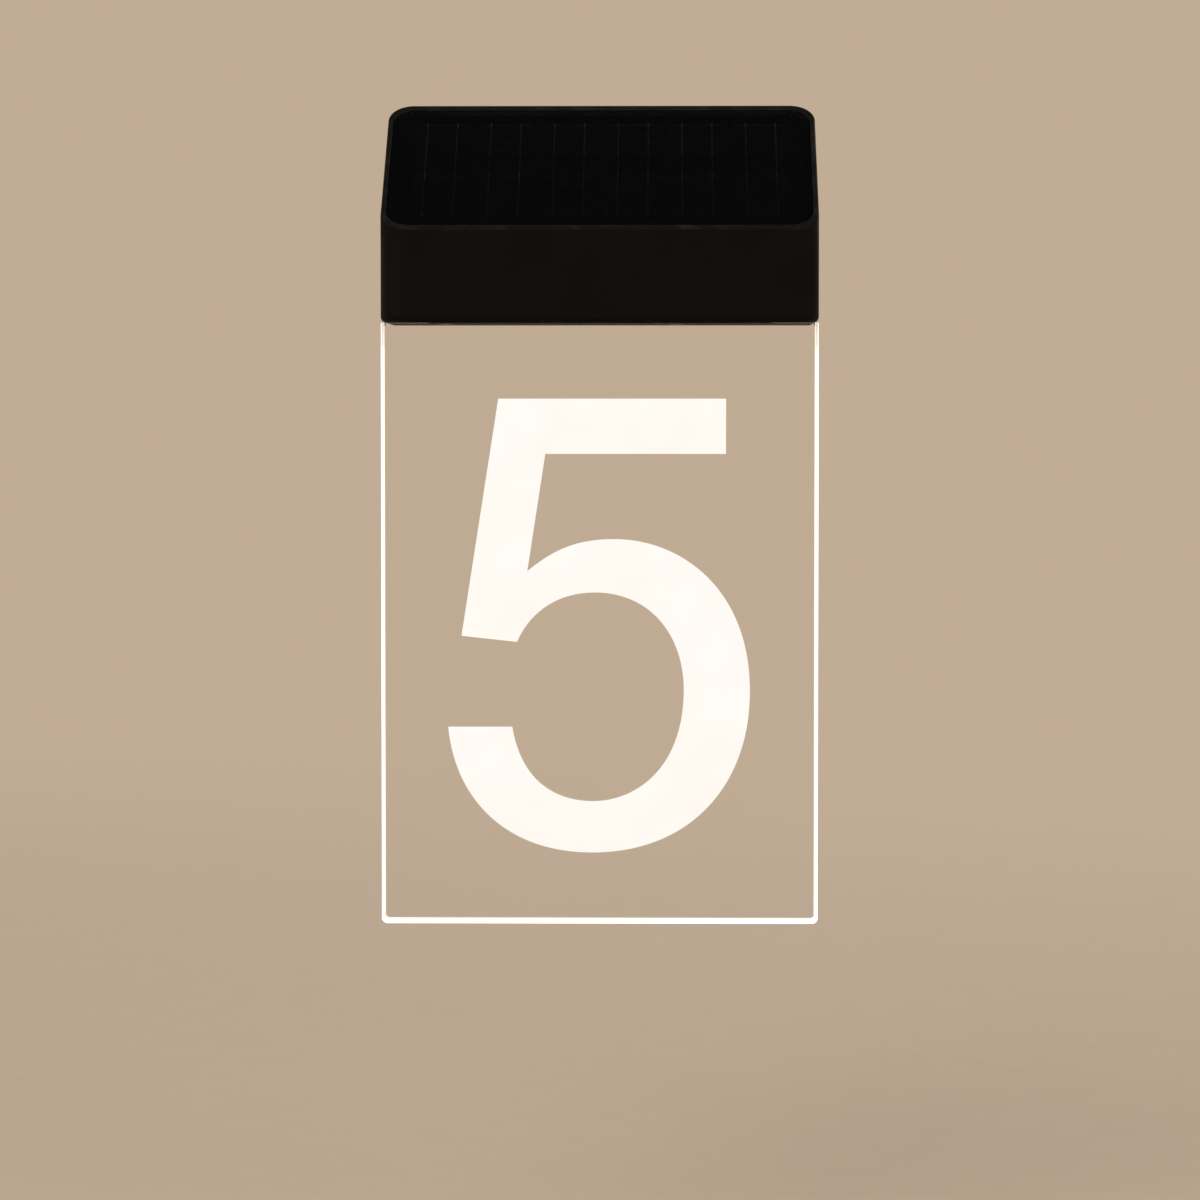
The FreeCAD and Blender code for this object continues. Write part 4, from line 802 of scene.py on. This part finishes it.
def soften(piece, width, leave=lambda edge: False):
    # Small rounded edges, except those to leave, and even shading of the flats beside them
    sharp = math.radians(softEdges["sharperThan"])
    pick(piece, "EDGE", lambda e: e.calc_face_angle(0.0) > sharp and not leave(e))
    bpy.ops.transform.edge_bevelweight(value=1.0)
    leaveEdit()
    made = piece.modifiers.new("soften", "BEVEL")
    made.width, made.segments, made.limit_method = width, softEdges["segments"], "WEIGHT"
    bpy.ops.object.modifier_apply(modifier=made.name)
    bpy.ops.object.mode_set(mode="EDIT")
    bpy.ops.mesh.select_all(action="SELECT")
    bpy.ops.mesh.remove_doubles(threshold=softEdges["weld"])
    leaveEdit()
    bpy.ops.object.shade_smooth_by_angle(angle=math.radians(softEdges["smoothBelow"]))
    made = piece.modifiers.new("even", "WEIGHTED_NORMAL")
    made.keep_sharp = True
    bpy.ops.object.modifier_apply(modifier=made.name)


def settle(piece, body, finish, replaced):
    piece.data.materials.clear()
    piece.data.materials.append(materials[finish])
    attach(piece, body)
    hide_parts(replaced)


def near(a, b, play=0.02 * mm):
    return abs(a - b) < play


def atHeight(edge, height):
    return all(near(v.co.z, height) for v in edge.verts)


def spanY(edge):
    return abs(edge.verts[0].co.y - edge.verts[1].co.y)


# Lit plate

plateSizes = {
    "corner": 1.9 * mm,
    "bevel": 1.5 * mm,
    "softening": 0.14 * mm,
    "tongueInset": 16.0 * mm,
    "screwPitch": 45.0 * mm,
    "holeRadius": 2.1 * mm,
    "holeBelowTop": 4.0 * mm,
    "cutterDepth": 12.0 * mm,
}


def buildPlate():
    sizes = plateSizes
    low, high, shoulder = plateLow, plateHigh, shellLow.z
    tongue = high.x - sizes["tongueInset"]
    plate = block("litPlate", low, (high.x, high.y, shoulder))

    def onCorner(edge):
        return atHeight(edge, low.z) and near(edge.verts[0].co.x, edge.verts[1].co.x)

    def onBorder(edge):
        # Between a flat face and the sides or the foot
        sides = [f for f in edge.link_faces if abs(f.normal.y) < 0.1]
        if len(edge.link_faces) != 2 or len(sides) != 1 or sides[0].normal.z >= 0.5:
            return False
        below = all(v.co.z < shoulder + 0.01 * mm for v in edge.verts)
        return below and (abs(edge.verts[0].co.x) > tongue + mm or sides[0].normal.z < -0.9)

    roundEdges(plate, onCorner, sizes["corner"], 8)
    divide(plate, (1, 0, 0), (-tongue, tongue))
    pick(plate, "FACE", lambda f: f.normal.z > 0.9 and abs(f.calc_center_median().x) < tongue)
    push(0, 0, high.z - shoulder)
    leaveEdit()
    roundEdges(plate, onBorder, sizes["bevel"], 1)
    for x in (-sizes["screwPitch"], 0.0, sizes["screwPitch"]):
        bpy.ops.object.select_all(action="DESELECT")
        bpy.ops.mesh.primitive_cylinder_add(
            vertices=40,
            radius=sizes["holeRadius"],
            depth=sizes["cutterDepth"],
            location=(x, (low.y + high.y) / 2, high.z - sizes["holeBelowTop"]),
            rotation=(math.pi / 2, 0, 0),
        )
        cut(plate, bpy.context.object)
    # The shoulder stays sharp where it meets the head
    soften(plate, sizes["softening"], lambda e: atHeight(e, shoulder))
    settle(plate, "lamp", "clearAcrylic", "acrylic_plate")


buildPlate()
print("lit plate ready")

# Screws with driver crosses

screwCross = {  # the first three are shares of the head's radius
    "length": 0.62,
    "width": 0.18,
    "depth": 0.46,
    "taper": 0.6,
    "above": 0.2 * mm,
}
coverScrew = {
    "radius": 2.9 * mm,
    "shank": 1.45 * mm,
    "head": 1.5 * mm,
    "length": 8.0 * mm,
    "countersunk": True,
}
doorScrew = {
    "radius": 2.4 * mm,
    "shank": 1.3 * mm,
    "head": 1.0 * mm,
    "length": 4.0 * mm,
    "countersunk": False,
}
screwShape = {"rim": 0.12 * mm, "tip": 0.35, "softening": 0.07 * mm}


def buildScrew(name, sizes):
    # Stands on Z with the top of its head at the origin
    radius, shank, rim = sizes["radius"], sizes["shank"], screwShape["rim"]
    bpy.ops.object.select_all(action="DESELECT")
    bpy.ops.mesh.primitive_cylinder_add(vertices=40, radius=radius, depth=rim, location=(0, 0, -rim / 2))
    screw = bpy.context.object
    screw.name = screw.data.name = name
    bpy.ops.object.transform_apply(location=True)
    pick(screw, "FACE", lambda f: f.normal.z < -0.9)
    push(0, 0, rim - sizes["head"])
    if sizes["countersunk"]:
        bpy.ops.transform.resize(value=(shank / radius, shank / radius, 1))
    else:
        bpy.ops.mesh.inset(thickness=radius - shank)
    push(0, 0, shank - sizes["length"])
    push(0, 0, -shank)
    bpy.ops.transform.resize(value=(screwShape["tip"], screwShape["tip"], 1))
    leaveEdit()
    reach, width, depth = (radius * screwCross[key] for key in ("length", "width", "depth"))
    cross = block("cross", (-width, -width, -depth), (width, width, screwCross["above"]))

    def onSide(face, x, y):
        middle = face.calc_center_median()
        return near(middle.x, x * width) and near(middle.y, y * width)

    for x, y in ((1, 0), (-1, 0), (0, 1), (0, -1)):
        pick(cross, "FACE", lambda f: onSide(f, x, y))
        push(x * (reach - width), y * (reach - width), 0)
        leaveEdit()
    pick(cross, "FACE", lambda f: f.normal.z < -0.9)
    bpy.ops.transform.resize(value=(screwCross["taper"], screwCross["taper"], 1))
    leaveEdit()
    cut(screw, cross)
    soften(screw, screwShape["softening"])
    return screw


def placeCopies(pattern, name, places, turn, body, replaced):
    # One piece from copies of the pattern, each turned and moved to its place
    made = []
    for place in places:
        wake(pattern)
        bpy.ops.object.duplicate()
        copy = bpy.context.object
        copy.rotation_euler = turn
        copy.location = place
        bpy.ops.object.transform_apply(location=True, rotation=True, scale=True)
        made.append(copy)
    bpy.ops.object.select_all(action="DESELECT")
    for copy in made:
        copy.select_set(True)
    bpy.context.view_layer.objects.active = made[0]
    bpy.ops.object.join()
    made[0].name = made[0].data.name = name
    bpy.data.objects.remove(pattern)
    settle(made[0], body, "screwSteel", replaced)


def buildCoverScrews():
    low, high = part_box("cover_screws")
    radius = coverScrew["radius"]
    screw = buildScrew("coverScrewPattern", coverScrew)
    rows, columns = (low.z + radius, high.z - radius), (low.x + radius, high.x - radius)
    places = [(x, high.y, z) for x in columns for z in rows]
    placeCopies(screw, "coverScrews", places, (-math.pi / 2, 0, 0), "lamp", "cover_screws")


def buildDoorScrews():
    low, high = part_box("door_screws")
    radius = doorScrew["radius"]
    screw = buildScrew("doorScrewPattern", doorScrew)
    places = [(x, (low.y + high.y) / 2, low.z) for x in (low.x + radius, high.x - radius)]
    placeCopies(screw, "doorScrews", places, (math.pi, 0, 0), "battery_door", "door_screws")


buildCoverScrews()
buildDoorScrews()
print("screws ready")

# Power button with a dished face

buttonSizes = {
    "radius": 4.8 * mm,
    "edge": 0.4 * mm,
    "rim": 1.0 * mm,
    "dish": 0.22 * mm,
    "crown": 0.10 * mm,
    "flangeThickness": 0.8 * mm,
    "postRadius": 1.5 * mm,
    "postHeight": 1.6 * mm,
    "softening": 0.08 * mm,
}


def buildButton():
    sizes = buttonSizes
    low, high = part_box("button_cap")
    x, y, radius = (low.x + high.x) / 2, (low.y + high.y) / 2, sizes["radius"]
    flange = (high.x - low.x) / 2
    shoulder = high.z - sizes["postHeight"] - sizes["flangeThickness"]
    bpy.ops.object.select_all(action="DESELECT")
    bpy.ops.mesh.primitive_cylinder_add(
        vertices=64, radius=radius, depth=shoulder - low.z, location=(x, y, (shoulder + low.z) / 2)
    )
    button = bpy.context.object
    button.name = button.data.name = "dishedButton"
    bpy.ops.object.transform_apply(location=True)
    pick(button, "FACE", lambda f: f.normal.z < -0.9)
    bpy.ops.mesh.inset(thickness=sizes["rim"])
    push(0, 0, sizes["dish"])
    bpy.ops.mesh.inset(thickness=radius / 3)
    push(0, 0, -sizes["crown"])
    leaveEdit()
    pick(button, "FACE", lambda f: f.normal.z > 0.9 and near(f.calc_center_median().z, shoulder))
    push(0, 0, 0)
    bpy.ops.transform.resize(value=(flange / radius, flange / radius, 1))
    push(0, 0, sizes["flangeThickness"])
    bpy.ops.mesh.inset(thickness=flange - sizes["postRadius"])
    push(0, 0, sizes["postHeight"])
    leaveEdit()

    def onLowerEdge(edge):
        reaches = [math.hypot(v.co.x - x, v.co.y - y) for v in edge.verts]
        return atHeight(edge, low.z) and all(near(reach, radius) for reach in reaches)

    roundEdges(button, onLowerEdge, sizes["edge"], 5)
    soften(button, sizes["softening"])
    settle(button, "power_button", "rubberSeal", "button_cap")


buildButton()
print("button ready")

# Wall bracket, bent from sheet

bracketSizes = {
    "sheet": 1.5 * mm,
    "plateTop": 10.0 * mm,  # the flat plate's upper edge, above the middle of its slots
    "corner": 3.0 * mm,
    "hookWidth": 14.0 * mm,
    "hookInset": 15.0 * mm,
    "hookFront": -5.0 * mm,
    "hookBend": 1.65 * mm,
    "slotSpacing": 60.0 * mm,
    "slotRadius": 2.25 * mm,
    "slotLength": 9.0 * mm,
    "cutterReach": (-4.0 * mm, 2.0 * mm),
    "softening": 0.22 * mm,
}


def buildBracket():
    sizes = bracketSizes
    low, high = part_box("wall_bracket")
    sheet, top, front = sizes["sheet"], sizes["plateTop"], sizes["hookFront"]
    middle, half = high.x - sizes["hookInset"], sizes["hookWidth"] / 2
    bracket = block("bentBracket", (low.x, -sheet, low.z), (high.x, 0, top))
    roundEdges(bracket, lambda e: spanY(e) > sheet / 2, sizes["corner"], 8)
    divide(bracket, (1, 0, 0), (-middle - half, -middle + half, middle - half, middle + half))
    divide(bracket, (0, 0, 1), (top - sheet,))

    def inHook(face):
        return middle - half < abs(face.calc_center_median().x) < middle + half

    def onHookRoot(face):
        return face.normal.y < -0.9 and face.calc_center_median().z > top - sheet and inHook(face)

    def onHookLip(face):
        return face.normal.z > 0.9 and inHook(face) and face.calc_center_median().y < front + sheet

    pick(bracket, "FACE", onHookRoot)
    push(0, front + 2 * sheet, 0)
    push(0, -sheet, 0)
    leaveEdit()
    pick(bracket, "FACE", onHookLip)
    push(0, 0, high.z - top)
    leaveEdit()

    def onBend(edge):
        return atHeight(edge, top - sheet) and all(near(v.co.y, front) for v in edge.verts)

    def onLipEnd(edge):
        return spanY(edge) > sheet / 2 and atHeight(edge, high.z)

    roundEdges(bracket, onBend, sizes["hookBend"], 6)
    roundEdges(bracket, onLipEnd, sizes["corner"], 8)
    reach, radius = sizes["slotLength"] / 2, sizes["slotRadius"]
    cutterFront, cutterBack = sizes["cutterReach"]
    for side in (-1, 1):
        x = side * sizes["slotSpacing"] / 2
        slot = block("slot", (x - reach, cutterFront, -radius), (x + reach, cutterBack, radius))
        roundEdges(slot, lambda e: spanY(e) > 4 * mm, radius * 0.999, 12)
        cut(bracket, slot)
    soften(bracket, sizes["softening"])
    settle(bracket, "bracket", "zincSheet", "wall_bracket")


buildBracket()
print("bracket ready")
